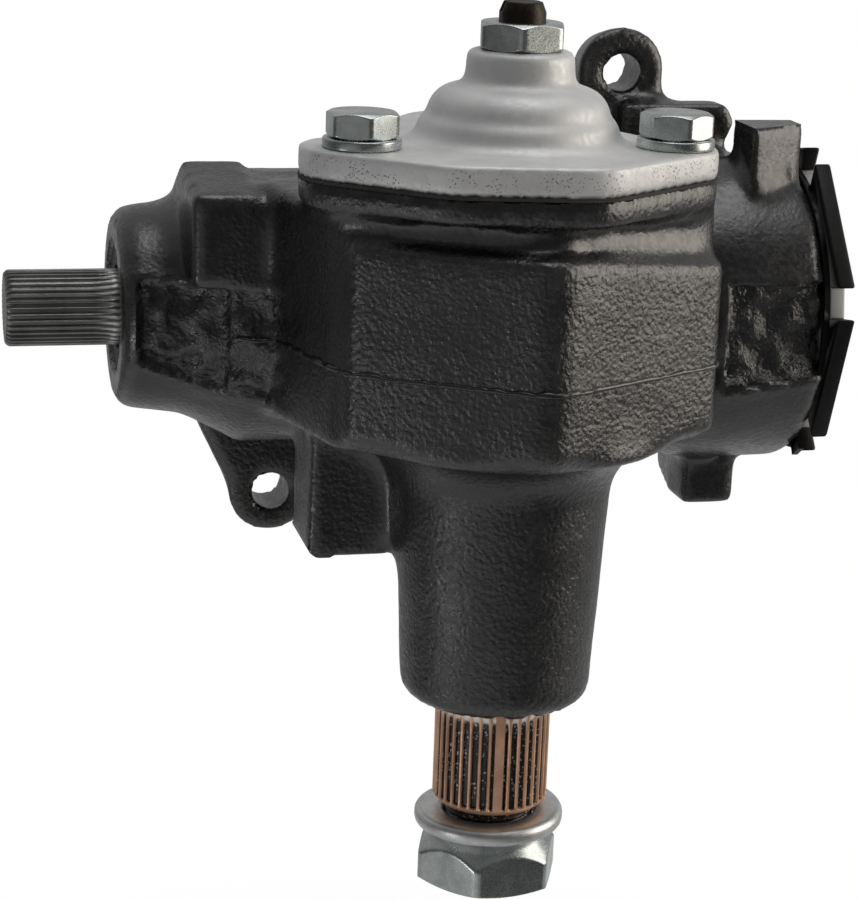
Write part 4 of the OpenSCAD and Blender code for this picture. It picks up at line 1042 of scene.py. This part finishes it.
def make_studio_level():
    """How bright the studio looks in a mirror in each direction: dark, lighter behind, with a dim window at the
    front left and a table below that darkens toward the front right."""
    tree, given, result = shader_group("studio_level", {"Direction": (0, 0, 0)}, ["Level"])
    toward = add(tree, "VectorMath", {0: given["Direction"]}, operation="NORMALIZE").outputs[0]

    def light_from(direction, start, end, level):
        facing = add(tree, "VectorMath", {0: toward, 1: direction}, operation="DOT_PRODUCT")
        return blend_range(facing.outputs["Value"], start, end, 0, level)
    back = light_from((0.3, 0.75, 0.58), -0.3, 0.9, 0.34)
    window = light_from((-0.65, -0.68, -0.33), 0.8, 0.97, 0.16)
    table = light_from((0, 0, -1), 0.28, 0.5, 0.3)
    dark = light_from((0.5, -0.72, -0.48), 0.92, 0.98, -0.3)
    low = larger(plus(table, dark), 0)
    level = plus(plus(low, 0.08), plus(back, window))
    link(level, result["Level"])
    return tree


studio_level = make_studio_level()


def ray_kinds(tree):
    """Whether a ray comes from the camera, and whether it was mirrored or passed glass."""
    seen = add(tree, "LightPath").outputs
    return seen["Is Camera Ray"], larger(seen["Is Glossy Ray"], seen["Is Transmission Ray"])


def make_floor():
    """Pale floor well below the gear, which is shown held by its ears; far off, the camera sees it white."""
    size, height = FLOOR_SIZE, cad_box[0].z - FLOOR_DROP
    floor = stand("floor", mesh_of("floor", [
        (-size, -size, height), (size, -size, height), (size, size, height), (-size, size, height)], [(0, 1, 2, 3)]))
    material, tree, shader = finish("pale_floor", Base_Color=(0.86, 0.86, 0.86, 1), Roughness=0.9)
    from_camera, mirrored = ray_kinds(tree)
    spot = add(tree, "NewGeometry").outputs["Position"]
    away = add(tree, "VectorMath", {0: spot}, operation="LENGTH").outputs["Value"]
    far = blend_range(away, *FLOOR_FADE, 0.5, 1.0)
    share = larger(times(from_camera, far), mirrored)
    level = larger(from_camera, use(tree, studio_level, Direction=spot)["Level"])
    white = add(tree, "Emission", {"Color": level, "Strength": 1})
    mix = add(tree, "MixShader", {0: share, 1: shader.outputs[0], 2: white.outputs[0]})
    link(mix.outputs[0], tree.nodes["Material Output"].inputs["Surface"])
    floor.data.materials.append(material)


def make_world():
    """White backdrop to the camera; metal sees the studio's own levels, and matt surfaces get twice as much light
    from it."""
    world = bpy.data.worlds.new("studio")
    bpy.context.scene.world = world
    world.use_nodes = True
    tree = world.node_tree
    from_camera, mirrored = ray_kinds(tree)
    room = use(tree, studio_level, Direction=add(tree, "TexCoord").outputs["Generated"])["Level"]
    lit = times(room, calc("MULTIPLY_ADD", mirrored, -1, 2))
    link(larger(from_camera, lit), tree.nodes["Background"].inputs["Color"])


def make_light(name, place_at, aim, size, power, colour=(1, 1, 1)):
    lamp = bpy.data.lights.new(name, "AREA")
    lamp.shape = "RECTANGLE"
    lamp.size, lamp.size_y = size
    lamp.energy = power
    lamp.color = colour
    light = stand(name, lamp)
    light.location = place_at
    light.rotation_euler = (Vector(aim) - Vector(place_at)).to_track_quat("-Z", "Y").to_euler()


def make_camera():
    azimuth, elevation, roll = (math.radians(v) for v in (CAMERA_AZIMUTH, CAMERA_ELEVATION, CAMERA_ROLL))
    back = Vector((math.sin(azimuth) * math.cos(elevation), -math.cos(azimuth) * math.cos(elevation),
                   math.sin(elevation)))
    right = Vector((math.cos(azimuth), math.sin(azimuth), 0))
    up = back.cross(right)
    across = math.cos(roll) * right + math.sin(roll) * up
    upright = math.cos(roll) * up - math.sin(roll) * right
    lens = bpy.data.cameras.new("camera")
    lens.sensor_fit = "VERTICAL"
    lens.sensor_height = SENSOR_HEIGHT
    lens.lens = CAMERA_LENS
    camera = stand("camera", lens)
    camera.matrix_world = Matrix((across, upright, back)).transposed().to_4x4()
    camera.location = right * CAMERA_SIDE + Vector((0, 0, CAMERA_HEIGHT)) + back * CAMERA_DISTANCE
    bpy.context.scene.camera = camera


make_floor()
make_world()
make_light("key_softbox", (0.86, -0.22, 0.28), (0, 0, 0.16), (0.7, 0.75), 4.4, (1, 0.92, 0.82))
make_light("top_softbox", (0.1, 0.0, 0.95), (0, 0, 0.1), (0.6, 0.6), 1.9)
make_light("side_card", (-0.55, -0.19, -0.15), (0, 0, 0.0), (0.1, 0.12), 0.2)
make_camera()

bpy.context.scene.view_settings.view_transform = "Standard"
